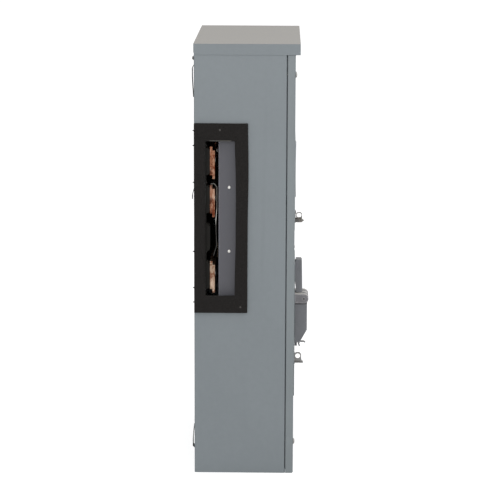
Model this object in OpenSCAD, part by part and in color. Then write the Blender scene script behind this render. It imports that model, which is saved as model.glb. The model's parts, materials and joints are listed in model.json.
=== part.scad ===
/* [Enclosure] */
// Width across the two side walls
body_w = 560; // [520:4:640]
// Height to the top of the rain cap
total_h = 1168; // [1160:2:1216]
// Depth of the steel box, back wall to cover seam
body_d = 246; // [240:1:270]
// Depth of the front cover pan, seam to front face
cover_d = 21.6; // [18:0.2:26]
// Thickness of the formed sheet steel
sheet = 1.6; // [1.4:0.1:2]
// Outside radius of the sheet bends
bend_r = 3; // [2.2:0.1:5]
// Gap left at the cover seam
seam_gap = 2.4; // [1.5:0.1:3.5]

/* [Rain cap] */
// Height of the cap's skirt
cap_skirt = 29; // [24:1:36]
// How far the cap stands in front of the cover
cap_overhang = 12.6; // [9:0.2:16]
// Thickness of the cap's sheet
cap_sheet = 1.2; // [1:0.1:1.5]

/* [Bus] */
// Height of the middle of the side bus openings
bus_mid_z = 702; // [698:1:706]
// Height of a side bus opening
opening_h = 420; // [416:2:440]
// Distance between bus positions
bus_pitch = 103; // [102:0.5:106]
// Height of one bus plate
bar_h = 76.2; // [70:0.1:78]
// Thickness of one bus plate
bar_t = 6.35; // [5:0.05:6.5]
// How far the joint plate sits below the bus plate
joint_drop = 10; // [0:1:11]

/* [Gasket] */
// Thickness of the foam gasket
gasket_t = 8; // [5:0.5:10]
// Depth that the gasket covers, from the back edge
gasket_d = 142.5; // [136:0.5:150]
// Height that the gasket covers
gasket_h = 513; // [500:1:530]

/* [Meter socket] */
// Height of the meter opening's centre
meter_z = 794; // [790:1:798]
// Radius of the meter opening
meter_r = 76.5; // [74:0.5:79]
// Sideways distance from the centre to a jaw
jaw_x = 37; // [35:0.5:40]
// Height from the centre to a jaw
jaw_z = 54; // [50:0.5:56]

/* [Breaker lid] */
// Width of the raintight lid
lid_w = 78; // [74:1:90]
// Radius of the lid's hinge barrel
barrel_r = 13; // [12:0.5:13.5]
// Wall thickness of the moulded lid
lid_wall = 2.5; // [2:0.1:3]
// Tilt of the breaker handle above its mid position
toggle_tilt = 18; // [10:1:20]

/* [Hidden] */

$fn = 48;
half_w = body_w / 2;
back_y = body_d / 2;
body_h = total_h - cap_sheet;
body_front = body_d - seam_gap / 2;
cover_back = body_d + seam_gap / 2;
cover_face = body_d + cover_d;
cover_top = total_h - cap_skirt - 0.6;
lip_w = 22;
hem_x = half_w - lip_w;
header_h = 44;
eps = 0.5;

steel_grey = [0.53, 0.56, 0.57];
cap_grey = [0.60, 0.60, 0.58];
zinc = [0.72, 0.72, 0.70];
copper = [0.76, 0.50, 0.36];
tin = [0.80, 0.78, 0.74];
foam_black = [0.16, 0.16, 0.15];
mould_black = [0.12, 0.12, 0.12];
panel_grey = [0.37, 0.37, 0.39];
lid_grey = [0.42, 0.42, 0.44];

// ---- Helpers: every place is given as [across, depth from the back wall, height] ----

// A plain block from its spans across, in depth and in height
module block(x, f, z)
    translate([x[0], back_y - f[1], z[0]]) cube([x[1] - x[0], f[1] - f[0], z[1] - z[0]]);

// Carries a side view, drawn as [depth, height], across the width
module across(x0, x1)
    translate([x0, back_y, 0]) mirror([0, 1, 0]) rotate([90, 0, 90]) linear_extrude(x1 - x0) children();

// Carries a front view, drawn as [across, height], forward through the depth
module forward(f0, f1)
    translate([0, back_y - f0, 0]) rotate([90, 0, 0]) linear_extrude(f1 - f0) children();

// Carries a plan view, drawn as [across, depth], upward
module upward(z0, z1)
    translate([0, back_y, z0]) mirror([0, 1, 0]) linear_extrude(z1 - z0) children();

// Turns a shape drawn round the depth axis so that it points forward from a place
module facing_front(x, f, z)
    translate([x, back_y - f, z]) rotate([90, 0, 0]) children();

// A copy on each side of the centre plane
module both_sides() {
    children();
    mirror([1, 0, 0]) children();
}

// A rectangle with round corners, from its two opposite corners
module round_rect(a, b, r) {
    translate([a[0] + r, a[1]]) square([b[0] - a[0] - 2 * r, b[1] - a[1]]);
    translate([a[0], a[1] + r]) square([b[0] - a[0], b[1] - a[1] - 2 * r]);
    for (x = [a[0] + r, b[0] - r])
        for (y = [a[1] + r, b[1] - r])
            translate([x, y]) circle(r);
}

// A round hole or pin through the depth
module drill(x, f, z, h, r)
    facing_front(x, f, z) cylinder(h = h, r = r);

function heading(a, b) = atan2(b[1] - a[1], b[0] - a[0]);
function turn(a, b, c) = let (d = heading(b, c) - heading(a, b)) d > 180 ? d - 360 : d < -180 ? d + 360 : d;
function polar(angle, r) = [r * cos(angle), r * sin(angle)];

// One side of a strip, at a signed distance from its middle line; each bend is an arc whose
// middle radius is the strip's thickness, in steps of 15 degrees
function strip_side(points, t, side) = let (last = len(points) - 1) concat(
    [points[0] + polar(heading(points[0], points[1]) + 90, side * t / 2)],
    [for (i = [1 : last - 1])
        let (a = turn(points[i - 1], points[i], points[i + 1]), way = sign(a), steps = ceil(abs(a) / 15))
        let (u = heading(points[i - 1], points[i]))
        let (centre = points[i] - polar(u, t * tan(abs(a) / 2)) + polar(u + 90, way * t))
        for (k = [0 : steps]) centre - polar(u + 90 + a * k / steps, way * t - side * t / 2)],
    [points[last] + polar(heading(points[last - 1], points[last]) + 90, side * t / 2)]);

// A strip of even thickness bent along a list of points
module bent_strip(points, t) {
    right = strip_side(points, t, -1);
    polygon(concat(strip_side(points, t, 1), [for (i = [len(right) - 1 : -1 : 0]) right[i]]));
}

// ---- Steel box ----

hanger_x = half_w - 46;
hanger_top = 1113;
foot_bottom = 57;
mid_tab_top = 788;
standoff = 6.35;
wall_hole_r = 4.75;
wall_hole_x = 203;
wall_hole_z = [76, 1092];
support_mid_x = half_w - 30;
support_screw_z = [-233, -193, -94, 94, 193, 233];
support_screw_r = 2.1;
support_head_r = 4;
cover_screw_x = half_w - 10;
cover_screw_z = [88, 1087];
cover_rivet_z = 627;
cap_screw_place = [half_w - 18, 1129];
shell_screw_r = 2.1;
rear_hub_r = [25.5, 31.5, 38];

opening_f = [30, 111];
opening_z = [bus_mid_z - opening_h / 2, bus_mid_z + opening_h / 2];
closing_lap = 16;
closing_places = [for (f = [opening_f[0] - 8, opening_f[1] + 8]) for (z = [-200, 0, 200]) [f, bus_mid_z + z]];

// The wrap in plan: back wall, two side walls and the front return lips, bent from one sheet
module wrap_plan() {
    difference() {
        round_rect([-half_w, 0], [half_w, body_front], bend_r);
        round_rect([-half_w + sheet, sheet], [half_w - sheet, body_front - sheet], bend_r - sheet);
        translate([-half_w + lip_w, body_d / 2]) square([body_w - 2 * lip_w, body_d]);
    }
}

// Holes through the return lips or the cover face for the cover's screws
module cover_screw_holes(f0, f1, r)
    both_sides() for (z = cover_screw_z)
        drill(cover_screw_x, f0, z, f1 - f0, r);

module body_wrap() {
    color(steel_grey) difference() {
        union() {
            upward(0, body_h) wrap_plan();
            // rain hem: the inner edge of each return lip, turned forward inside the cover
            both_sides()
                block([hem_x, hem_x + sheet], [body_front - sheet, body_front + 12], [4, cover_top - 8]);
            // low spacers that keep the cover seam open at its foot
            both_sides()
                block([half_w - 5, half_w - 2], [body_front - sheet, cover_back - 0.4], [0, 12]);
        }
        both_sides() across(half_w - sheet - eps, half_w + eps)
            round_rect([opening_f[0], opening_z[0]], [opening_f[1], opening_z[1]], 3);
        for (x = [-wall_hole_x, wall_hole_x])
            for (z = wall_hole_z)
                drill(x, -eps, z, sheet + 2 * eps, wall_hole_r);
        both_sides() for (z = support_screw_z)
            drill(support_mid_x, -eps, bus_mid_z + z, sheet + 2 * eps, support_screw_r + 0.1);
        shell_screw_holes();
        cover_screw_holes(body_front - sheet - eps, body_front + eps, 3.2);
        // lanced windows behind the hanging tabs
        both_sides() forward(-eps, sheet + eps) {
            translate([hanger_x - 14, hanger_top - 91]) square([28, 91]);
            translate([hanger_x - 14, foot_bottom]) square([28, 66]);
            translate([hanger_x + 3, mid_tab_top - 38]) square([24, 38]);
        }
        // concentric knockouts low in the back wall
        facing_front(-140, 0, 150) knockout_rings(rear_hub_r);
    }
}

// Holes for the screws of the top panel, in the back wall, and of the closing plate, in the right wall
module shell_screw_holes() {
    both_sides() drill(cap_screw_place[0], -eps, cap_screw_place[1], 3 * sheet, shell_screw_r + 0.1);
    for (p = closing_places)
        across(half_w - 3 * sheet, half_w + eps) translate(p) circle(shell_screw_r + 0.1);
}

// Ring grooves of a concentric knockout, cut into an outside face, with the ties left standing
knockout_cut = 0.7;
module knockout_rings(radii) {
    for (i = [0 : len(radii) - 1])
        rotate(i * 47) difference() {
            translate([0, 0, -eps]) cylinder(h = knockout_cut + eps, r = radii[i]);
            translate([0, 0, -2 * eps]) cylinder(h = knockout_cut + 3 * eps, r = radii[i] - 1.2);
            translate([-radii[i] - 1, -3, -2 * eps]) cube([2 * radii[i] + 2, 6, knockout_cut + 3 * eps]);
        }
}

// A shallow end pan that closes the wrap: a plate with its front lip turned down or up
module end_pan(z0, z1, lip_z0, lip_z1) {
    inner = half_w - sheet;
    upward(z0, z1) round_rect([-inner, sheet], [inner, body_front - sheet], bend_r - sheet);
    block([-half_w + lip_w, half_w - lip_w], [body_front - sheet, body_front], [lip_z0, lip_z1]);
}

module top_panel()
    color(steel_grey) difference() {
        union() {
            end_pan(body_h - sheet, body_h, body_h - header_h, body_h);
            block([-half_w + 8, half_w - 8], [sheet, 2 * sheet], [body_h - header_h, body_h - sheet]);
        }
        shell_screw_holes();
    }

hub_f = 118;
module bottom_panel() {
    color(steel_grey) difference() {
        end_pan(0, sheet, 0, lip_w);
        for (x = [-130, 130])
            translate([x, back_y - hub_f, 0]) knockout_rings(rear_hub_r);
        translate([210, back_y - hub_f, 0]) knockout_rings([11, 14]);
        translate([-210, back_y - hub_f, 0]) knockout_rings([11, 14]);
    }
}

// The rain cap: a shallow hood whose side skirts end in a round corner at the back
module rain_cap() {
    skirt_z = total_h - cap_skirt;
    front = cover_face + cap_overhang;
    corner = 9;
    color(cap_grey) difference() {
        intersection() {
            upward(skirt_z, total_h)
                round_rect([-half_w - cap_sheet, -cap_sheet], [half_w + cap_sheet, front], 2);
            across(-half_w - 5, half_w + 5) {
                translate([-cap_sheet, skirt_z + corner]) square([front + cap_sheet, cap_skirt - corner]);
                translate([corner - cap_sheet, skirt_z]) square([front + cap_sheet - corner, cap_skirt]);
                translate([corner - cap_sheet, skirt_z + corner]) circle(corner);
            }
        }
        upward(skirt_z - eps, total_h - cap_sheet)
            round_rect([-half_w, 0], [half_w, front - cap_sheet], 1);
    }
}

// Tongues lanced out of the back wall: they hang the box and hold it off the wall
tab_mid_f = sheet / 2;
tab_out_f = sheet / 2 - standoff;
module wall_hangers()
    color(steel_grey) both_sides() across(hanger_x - 13, hanger_x + 13)
        bent_strip([[tab_mid_f, hanger_top], [tab_mid_f, hanger_top - 1.5], [tab_out_f, hanger_top - 12],
            [tab_out_f, hanger_top - 37], [-2.6, hanger_top - 89]], sheet);

module mid_tabs()
    color(steel_grey) both_sides() across(hanger_x + 4, hanger_x + 26)
        bent_strip([[tab_mid_f, mid_tab_top], [tab_mid_f, mid_tab_top - 1.5], [tab_out_f, mid_tab_top - 25],
            [tab_out_f, mid_tab_top - 36]], sheet);

module foot_tabs()
    color(steel_grey) both_sides() across(hanger_x - 13, hanger_x + 13)
        bent_strip([[tab_mid_f, foot_bottom], [tab_mid_f, foot_bottom + 1.5], [tab_out_f, foot_bottom + 8],
            [tab_out_f, foot_bottom + 26], [-2.6, foot_bottom + 64]], sheet);

// Plain plate inside the right wall that closes the bus opening until another unit is coupled there
module closing_plate()
    color(steel_grey) difference() {
        block([half_w - 2 * sheet, half_w - sheet], [opening_f[0] - closing_lap, opening_f[1] + closing_lap],
            [opening_z[0] - closing_lap, opening_z[1] + closing_lap]);
        shell_screw_holes();
    }

// Screws that hold the top panel from behind and the closing plate from the right
module shell_screws() {
    head_r = 4.4;
    color(zinc) {
        both_sides() facing_front(cap_screw_place[0], 0, cap_screw_place[1]) {
            cylinder(h = 2 * sheet + 3, r = shell_screw_r);
            translate([0, 0, -1.4]) cylinder(h = 1.4, r = 6.4);
            translate([0, 0, -3.4]) cylinder(h = 2.1, r = head_r);
            translate([0, 0, -4.8]) cylinder(h = 1.4, r1 = 2.8, r2 = head_r);
        }
        for (p = closing_places) {
            across(half_w - 2 * sheet - 3, half_w) translate(p) circle(shell_screw_r);
            across(half_w, half_w + 0.9) translate(p) circle(head_r);
        }
    }
}

// ---- Gasket round the left bus opening ----

gasket_z = [bus_mid_z + 0.5 - gasket_h / 2, bus_mid_z + 0.5 + gasket_h / 2];
gasket_holes = [[69, bus_mid_z + 240], [124, bus_mid_z - 238]];
rivet_r = 2.6;

module side_gasket() {
    color(foam_black) across(-half_w - gasket_t, -half_w) difference() {
        round_rect([0, gasket_z[0]], [gasket_d, gasket_z[1]], 1.5);
        round_rect([opening_f[0], opening_z[0]], [opening_f[1], opening_z[1]], 2);
        for (p = gasket_holes)
            translate(p) circle(rivet_r);
    }
}

module gasket_rivets() {
    color(zinc) for (p = gasket_holes)
        across(-half_w - gasket_t - 0.8, -half_w) translate(p) circle(rivet_r);
}

// ---- Bus bars and their moulded supports ----

bar_f = 42;
joint_f = bar_f + bar_t;
joint_face = joint_f + bar_t;
bus_z = [for (i = [1.5, 0.5, -1.5]) bus_mid_z + i * bus_pitch];
pad_z = [for (i = [1.5, 0.5, -0.5, -1.5]) bus_mid_z + i * bus_pitch];
bar_end = half_w - 12;
bolt_x = support_mid_x - 8;
bus_bolt_r = 4.9;
support_x = [half_w - 50, half_w - 13];
spine_f = 32;

// The comb seen from the side: a spine on the back wall with one rounded pad for each bus position
module support_side() {
    round_rect([sheet, bus_mid_z - 242], [spine_f, bus_mid_z + 242], 4);
    for (z = pad_z)
        round_rect([spine_f - 12, z - 38], [bar_f, z + 34], 9);
}

module bus_support() {
    difference() {
        across(support_x[0], support_x[1]) support_side();
        for (z = support_screw_z) {
            drill(support_mid_x, 0, bus_mid_z + z, bar_f, support_screw_r + 0.05);
            drill(support_mid_x, spine_f, bus_mid_z + z, bar_f, support_head_r + 0.4);
        }
        for (z = pad_z)
            drill(bolt_x, 14, z, bar_f, bus_bolt_r + 0.05);
        // weight-saving pockets between the pads, open to the middle of the box
        for (z = pad_z)
            block([support_x[0] - eps, support_x[0] + 9], [9, spine_f - 8], [z - 22, z + 22]);
    }
}

module bus_support_right()
    color(mould_black) bus_support();

module bus_support_left()
    color(mould_black) mirror([1, 0, 0]) bus_support();

// Self-tapping screws driven through the supports into the back wall, their points standing out behind
module support_screws() {
    point_f = -5.8;
    point_len = 3.8;
    color(zinc) both_sides() for (z = support_screw_z)
        facing_front(support_mid_x, 0, bus_mid_z + z) {
            translate([0, 0, point_f]) cylinder(h = point_len, r1 = 0.3, r2 = support_screw_r);
            translate([0, 0, point_f + point_len])
                cylinder(h = spine_f - point_f - point_len, r = support_screw_r);
            translate([0, 0, spine_f]) cylinder(h = 2.2, r = support_head_r);
        }
}

// Holes for the bus bolts, and for a tap bolt at the given place across
module bus_bolt_holes(z, tap_x, r) {
    for (x = [-bolt_x, bolt_x])
        drill(x, bar_f - eps, z, 2 * bar_t + 2 * eps, r);
    drill(tap_x, bar_f - eps, z - joint_drop / 2, 2 * bar_t + 2 * eps, r);
}

tap_x = [-jaw_x, jaw_x, 118];

// A bus plate runs the whole width and is round at its long edges
module bus_plate(i) {
    difference() {
        across(-bar_end, bar_end)
            round_rect([bar_f, bus_z[i] - bar_h / 2], [bar_f + bar_t, bus_z[i] + bar_h / 2], 1);
        bus_bolt_holes(bus_z[i], tap_x[i], bus_bolt_r + 0.1);
    }
}

module line_bus_a() color(copper) bus_plate(0);
module line_bus_b() color(copper) bus_plate(1);
module neutral_bus() color(tin) bus_plate(2);

// Joint plates lie on the ends of the bus plates, a little lower, ready to couple the next unit
joint_len = 92;
joint_slot = 46;
module joint_plate(i) {
    mid = bus_z[i] - joint_drop;
    slot_r = bus_bolt_r + 0.1;
    difference() {
        across(bar_end - joint_len, bar_end)
            round_rect([joint_f, mid - bar_h / 2], [joint_face, mid + bar_h / 2], 1);
        // slot that lets the plate slide out to the next unit
        forward(joint_f - eps, joint_face + eps) {
            translate([bolt_x, bus_z[i]]) circle(slot_r);
            translate([bolt_x - joint_slot, bus_z[i]]) circle(slot_r);
            translate([bolt_x - joint_slot, bus_z[i] - slot_r]) square([joint_slot, 2 * slot_r]);
        }
    }
}

module joint_plates_right() color(copper) for (i = [0, 1]) joint_plate(i);
module joint_plates_left() color(copper) mirror([1, 0, 0]) for (i = [0, 1]) joint_plate(i);
module neutral_joints() color(tin) both_sides() joint_plate(2);

// Carriage bolts that clamp each pair of plates to its pad, and the tap bolts of the risers
riser_t = 3.2;
riser_w = 25;
module bus_bolts() {
    color(zinc) {
        both_sides() for (z = bus_z)
            facing_front(bolt_x, 0, z) {
                translate([0, 0, 15]) cylinder(h = joint_face - 15, r = bus_bolt_r);
                translate([0, 0, joint_face]) cylinder(h = 2.2, r = 9);
            }
        for (i = [0 : 2])
            facing_front(tap_x[i], 0, bus_z[i] - joint_drop / 2) {
                translate([0, 0, bar_f - 5]) cylinder(h = bar_t + riser_t + 5, r = bus_bolt_r);
                translate([0, 0, bar_f - 5]) cylinder(h = 5, r = 8.5, $fn = 6);
                translate([0, 0, bar_f + bar_t + riser_t]) cylinder(h = 4, r = 8.5, $fn = 6);
            }
    }
}

// Thin insulating film hooked over the second bus plate, hanging before the bus and curling back at its foot
film_t = 1.2;
module barrier_film() {
    film_x = half_w - 30;
    hook_z = bus_z[1] + bar_h / 2 + film_t / 2 + 0.1;
    notch_w = riser_w + 6;
    color(foam_black) difference() {
        across(-film_x, film_x)
            bent_strip([[bar_f + 1.5, hook_z], [53, hook_z], [59.8, hook_z - 9], [59.8, bus_mid_z + 24],
                [57, bus_mid_z - 8], [57.5, bus_mid_z - 40], [59.2, bus_mid_z - 78],
                [50.5, bus_mid_z - 105]], film_t);
        // notch that lets the second riser through
        block([jaw_x - notch_w / 2, jaw_x + notch_w / 2], [bar_f, 70], [bus_z[1] + 16, bus_z[1] + 46]);
    }
}

// ---- Interior pan and side barriers ----

pan_f = 150;
pan_z = [200, 1010];
barrier_x = half_w - 22;
barrier_t = 1.4;
barrier_f = 65.2;
pan_x = barrier_x - barrier_t;
barrier_screw_f = 93;
barrier_screw_z = [bus_mid_z - 91, bus_mid_z + 82];
riser_top = 905;
rail_w = 120;
neutral_run_z = 562;

// A painted plate beside the bus, its rear edge bent inward
module barrier() {
    difference() {
        upward(bus_mid_z - 232, bus_mid_z + 238)
            bent_strip([[barrier_x - 9, barrier_f], [barrier_x - barrier_t / 2, barrier_f],
                [barrier_x - barrier_t / 2, pan_f - 4]], barrier_t);
        for (z = barrier_screw_z)
            across(pan_x - 5, barrier_x + eps) translate([barrier_screw_f, z]) circle(2.3);
    }
}

module barrier_right() color(panel_grey) barrier();
module barrier_left() color(panel_grey) mirror([1, 0, 0]) barrier();

module barrier_screws() {
    color(zinc) both_sides() for (z = barrier_screw_z) {
        across(pan_x - 7, barrier_x) translate([barrier_screw_f, z]) circle(2.2);
        across(barrier_x, barrier_x + 2.2) translate([barrier_screw_f, z]) circle(4.2);
    }
}

// The mounting pan in plan: a wide channel open to the back
module interior_pan() {
    web = pan_f + sheet;
    color(panel_grey) difference() {
        upward(pan_z[0], pan_z[1]) difference() {
            round_rect([-pan_x, 78], [pan_x, web], 2.5);
            translate([-pan_x + sheet, 70]) square([2 * (pan_x - sheet), pan_f - 70]);
        }
        // window for the risers above the socket base, slot for the neutral strap
        forward(pan_f - eps, web + eps) {
            round_rect([-64, riser_top - 9], [64, riser_top + 9], 3);
            round_rect([tap_x[2] - 20, neutral_run_z - 9], [tap_x[2] + 20, neutral_run_z + 9], 3);
            for (x = [-180, 180])
                round_rect([x - 45, 240], [x + 45, 330], 12);
        }
        both_sides() for (z = barrier_screw_z)
            across(pan_x - 5, barrier_x + eps) translate([barrier_screw_f, z]) circle(2.3);
        for (x = [-rail_w + 25, rail_w - 25])
            for (z = [pan_z[0] + 12, pan_z[1] - 12])
                facing_front(x, pan_f - eps, z) cylinder(h = sheet + 2 * eps, r = 3.4);
        base_screw_holes(pan_f - eps, sheet + 2 * eps, 2.7);
    }
}

// Shelf brackets that carry the pan from the back wall
module pan_rail(z, up) {
    flange = 24 * up;
    across(-rail_w, rail_w)
        bent_strip([[sheet + 1, z + flange], [sheet + 1, z], [pan_f - 1, z], [pan_f - 1, z + flange]], 2);
    for (x = [-rail_w + 25, rail_w - 25])
        facing_front(x, pan_f - 6, z + flange / 2) cylinder(h = sheet + 6, r = 3.3);
    for (x = [-rail_w + 25, rail_w - 25])
        facing_front(x, pan_f + sheet, z + flange / 2) cylinder(h = 3.4, r = 6, $fn = 6);
}

module pan_rail_top() color(zinc) pan_rail(pan_z[1] - 24, 1);
module pan_rail_bottom() color(zinc) pan_rail(pan_z[0] + 24, -1);

// ---- Meter socket ----

base_f = pan_f + sheet;
post_f = base_f + 44;
jaw_places = [[-jaw_x, jaw_z], [jaw_x, jaw_z], [-jaw_x, -jaw_z], [jaw_x, -jaw_z]];
jaw_h = 25;
jaw_screw_r = 2.4;

// A moulded base: a ribbed plate with one stepped post under each jaw
module socket_base() {
    color(mould_black) difference() {
        union() {
            forward(base_f, base_f + 12)
                round_rect([-78, meter_z - 92], [78, meter_z + 92], 10);
            for (p = jaw_places) {
                forward(base_f, post_f - 6)
                    round_rect([p[0] - 19, meter_z + p[1] - 22], [p[0] + 19, meter_z + p[1] + 22], 4);
                forward(base_f, post_f)
                    round_rect([p[0] - 14, meter_z + p[1] - 17], [p[0] + 14, meter_z + p[1] + 17], 3);
            }
            // ribs that tie the posts together
            for (x = [-jaw_x, jaw_x])
                block([x - 3, x + 3], [base_f, base_f + 28], [meter_z - jaw_z, meter_z + jaw_z]);
            for (z = [-jaw_z, jaw_z])
                block([-jaw_x, jaw_x], [base_f, base_f + 24], [meter_z + z - 3, meter_z + z + 3]);
            block([-3, 3], [base_f, base_f + 34], [meter_z - 86, meter_z + 86]);
        }
        base_screw_holes(base_f - eps, 20, 2.7);
        for (p = jaw_places)
            facing_front(p[0], post_f - 12, meter_z + p[1]) cylinder(h = 13, r = jaw_screw_r + 0.1);
    }
}

// Holes for the four screws that hold the socket base to the pan
module base_screw_holes(f, h, r)
    for (x = [-66, 66])
        for (z = [-80, 80])
            facing_front(x, f, meter_z + z) cylinder(h = h, r = r);

module base_screws()
    color(zinc) for (x = [-66, 66])
        for (z = [-80, 80])
            facing_front(x, pan_f - 4, meter_z + z) {
                cylinder(h = sheet + 16, r = 2.6);
                translate([0, 0, sheet + 16]) cylinder(h = 3, r = 5);
            }

// One jaw in plan: a foot on the post and two spring leaves that pinch, then flare to guide the blade
leaf_t = 1.8;
jaw_foot_t = 2.4;
module jaw(p) {
    z = meter_z + p[1];
    strap_f = post_f + riser_t;
    color(tin) difference() {
        upward(z - jaw_h / 2, z + jaw_h / 2) translate([p[0], strap_f]) {
            translate([-11, 0]) square([22, jaw_foot_t]);
            for (s = [-1, 1])
                bent_strip([[s * 10, 1], [s * 10.2, 12], [s * 7.5, 20], [s * 2.2, 29], [s * 2.2, 33],
                    [s * 6.5, 40]], leaf_t);
        }
        facing_front(p[0], strap_f - eps, z) cylinder(h = 5, r = jaw_screw_r + 0.1);
    }
}

// One screw through each jaw's foot, its copper strap and the post
module jaw_screws()
    color(zinc) for (p = jaw_places)
        facing_front(p[0], post_f - 10, meter_z + p[1]) {
            cylinder(h = 10 + riser_t + jaw_foot_t, r = jaw_screw_r);
            translate([0, 0, 10 + riser_t + jaw_foot_t]) cylinder(h = 2.4, r = 4.4);
        }

module line_jaw_a() jaw(jaw_places[0]);
module line_jaw_b() jaw(jaw_places[1]);
module load_jaw_a() jaw(jaw_places[2]);
module load_jaw_b() jaw(jaw_places[3]);

// Copper risers from the bus to the line jaws, over the top of the socket base
riser_mid_f = bar_f + bar_t + riser_t / 2;
jaw_mid_f = post_f + riser_t / 2;
module riser(x, path)
    color(copper) difference() {
        across(x - riser_w / 2, x + riser_w / 2) bent_strip(path, riser_t);
        drill(x, bar_f + bar_t - eps, path[0][1] + 20, riser_t + 2 * eps, bus_bolt_r + 0.1);
        drill(x, post_f - eps, meter_z + jaw_z, riser_t + 2 * eps, jaw_screw_r + 0.1);
    }

module riser_a()
    riser(-jaw_x, [[riser_mid_f, bus_z[0] - joint_drop / 2 - 20], [riser_mid_f, riser_top],
        [jaw_mid_f, riser_top], [jaw_mid_f, meter_z + jaw_z - 14]]);

module riser_b()
    riser(jaw_x, [[riser_mid_f, bus_z[1] - joint_drop / 2 - 20], [riser_mid_f, bus_z[1] + 22],
        [riser_mid_f + 20, bus_z[1] + 38], [riser_mid_f + 20, riser_top], [jaw_mid_f, riser_top],
        [jaw_mid_f, meter_z + jaw_z - 14]]);

// Copper straps from the load jaws down to the breaker's line terminals
strap_f = 175;
breaker_top = 452;
terminal_z = breaker_top + 14;
terminal_screw_r = 3.2;
module load_strap(x) {
    color(copper) difference() {
        across(x - 11, x + 11)
            bent_strip([[jaw_mid_f, meter_z - jaw_z + 14], [jaw_mid_f, meter_z - jaw_z - 50],
                [strap_f, meter_z - jaw_z - 68], [strap_f, breaker_top + 3]], riser_t);
        drill(x, strap_f - riser_t, terminal_z, 2 * riser_t, terminal_screw_r + 0.1);
        drill(x, post_f - eps, meter_z - jaw_z, riser_t + 2 * eps, jaw_screw_r + 0.1);
    }
}

module load_strap_a() load_strap(-jaw_x);
module load_strap_b() load_strap(jaw_x);

// ---- Main breaker ----

breaker_x = 56;
breaker_z = [250, breaker_top];
terminal_f = strap_f - riser_t / 2;
case_f = 236;
nose_f = cover_face + 2.6;
nose_z = [312, 392];
pivot_f = 244;
pivot_z = (nose_z[0] + nose_z[1]) / 2;
toggle_r = 17;
axle_r = 3;
lug_z = [213, 247];
lug_x = 31;
lug_f = terminal_f + 15;
lug_bore_r = 7.5;

module main_breaker() {
    color(mould_black) difference() {
        union() {
            forward(base_f, case_f) round_rect([-breaker_x, breaker_z[0]], [breaker_x, breaker_z[1]], 3);
            forward(base_f, terminal_f) round_rect([-breaker_x, 208], [breaker_x, 478], 3);
            forward(case_f - 5, case_f + 12) round_rect([-36, nose_z[0] - 30], [36, nose_z[1] + 30], 3);
            forward(case_f - 5, nose_f) round_rect([-22, nose_z[0]], [22, nose_z[1]], 3);
            // barrier between the poles at both ends
            block([-2.5, 2.5], [base_f, case_f - 12], [208, 478]);
        }
        // well for the handle
        block([-9, 9], [pivot_f - 20, nose_f + eps], [pivot_z - 27, pivot_z + 27]);
        across(-9, 9) translate([pivot_f, pivot_z]) circle(21);
        across(-16, 16) translate([pivot_f, pivot_z]) circle(axle_r + 0.06);
        for (x = [-jaw_x, jaw_x])
            drill(x, terminal_f - 9, terminal_z, 10, terminal_screw_r + 0.1);
    }
}

// The handle: a round hub with a tapered lever, and an axle that turns in the case
module breaker_toggle() {
    color(mould_black) {
        translate([0, back_y - pivot_f, pivot_z]) rotate([-toggle_tilt, 0, 0])
            translate([-8.5, 0, 0]) mirror([0, 1, 0]) rotate([90, 0, 90]) linear_extrude(17) {
                circle(toggle_r);
                polygon([[0, -7.5], [44, -4.5], [45, -3.5], [45, 3.5], [44, 4.5], [0, 7.5]]);
            }
        across(-15.5, 15.5) translate([pivot_f, pivot_z]) circle(axle_r);
    }
}

// Box lugs for the outgoing conductors
module load_lug(x) {
    height = lug_z[1] - lug_z[0];
    color(tin) difference() {
        block([x - 12, x + 12], [terminal_f, terminal_f + 30], lug_z);
        translate([x, back_y - lug_f, lug_z[0] - eps]) cylinder(h = height + 2 * eps, r = lug_bore_r);
        drill(x, lug_f, lug_z[0] + height / 2, 20, 5.1);
    }
}

module load_lug_a() load_lug(-lug_x);
module load_lug_b() load_lug(lug_x);

// Socket set screws of all the lugs, and the terminal screws of the line straps
module lug_screws() {
    color(zinc) {
        for (x = [-lug_x, lug_x])
            facing_front(x, 0, (lug_z[0] + lug_z[1]) / 2) difference() {
                translate([0, 0, lug_f + lug_bore_r + 1]) cylinder(h = 9, r = 5);
                translate([0, 0, lug_f + lug_bore_r + 5]) cylinder(h = 6, r = 2.9, $fn = 6);
            }
        for (x = [-jaw_x, jaw_x])
            facing_front(x, 0, terminal_z) {
                translate([0, 0, terminal_f - 8]) cylinder(h = 8 + riser_t, r = terminal_screw_r);
                translate([0, 0, terminal_f + riser_t]) cylinder(h = 4, r = 6.5, $fn = 6);
            }
    }
}

// ---- Neutral and ground ----

neutral_x = tap_x[2];
neutral_path = [[riser_mid_f, bus_z[2] - joint_drop / 2 - 20], [riser_mid_f, neutral_run_z],
    [base_f + 14, neutral_run_z], [base_f + 14, 440]];
module neutral_strap()
    color(tin) difference() {
        across(neutral_x - riser_w / 2, neutral_x + riser_w / 2) bent_strip(neutral_path, riser_t);
        drill(neutral_x, bar_f + bar_t - eps, bus_z[2] - joint_drop / 2, riser_t + 2 * eps, bus_bolt_r + 0.1);
    }

// Neutral lug block on a moulded foot, with two conductor bores
neutral_lug_z = [430, 478];
neutral_lug_f = base_f + 14 + riser_t / 2;
module neutral_lug() {
    color(tin) difference() {
        union() {
            block([neutral_x - 24, neutral_x + 24], [neutral_lug_f, neutral_lug_f + 30], neutral_lug_z);
            for (x = [neutral_x - 19, neutral_x + 19])
                block([x - 5, x + 5], [base_f, neutral_lug_f + 1], [434, 474]);
        }
        for (x = [neutral_x - 12, neutral_x + 12]) {
            translate([x, back_y - neutral_lug_f - 15, neutral_lug_z[0] - eps])
                cylinder(h = 49, r = lug_bore_r);
            facing_front(x, neutral_lug_f + 20, 454) cylinder(h = 20, r = 5);
        }
    }
}

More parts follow.
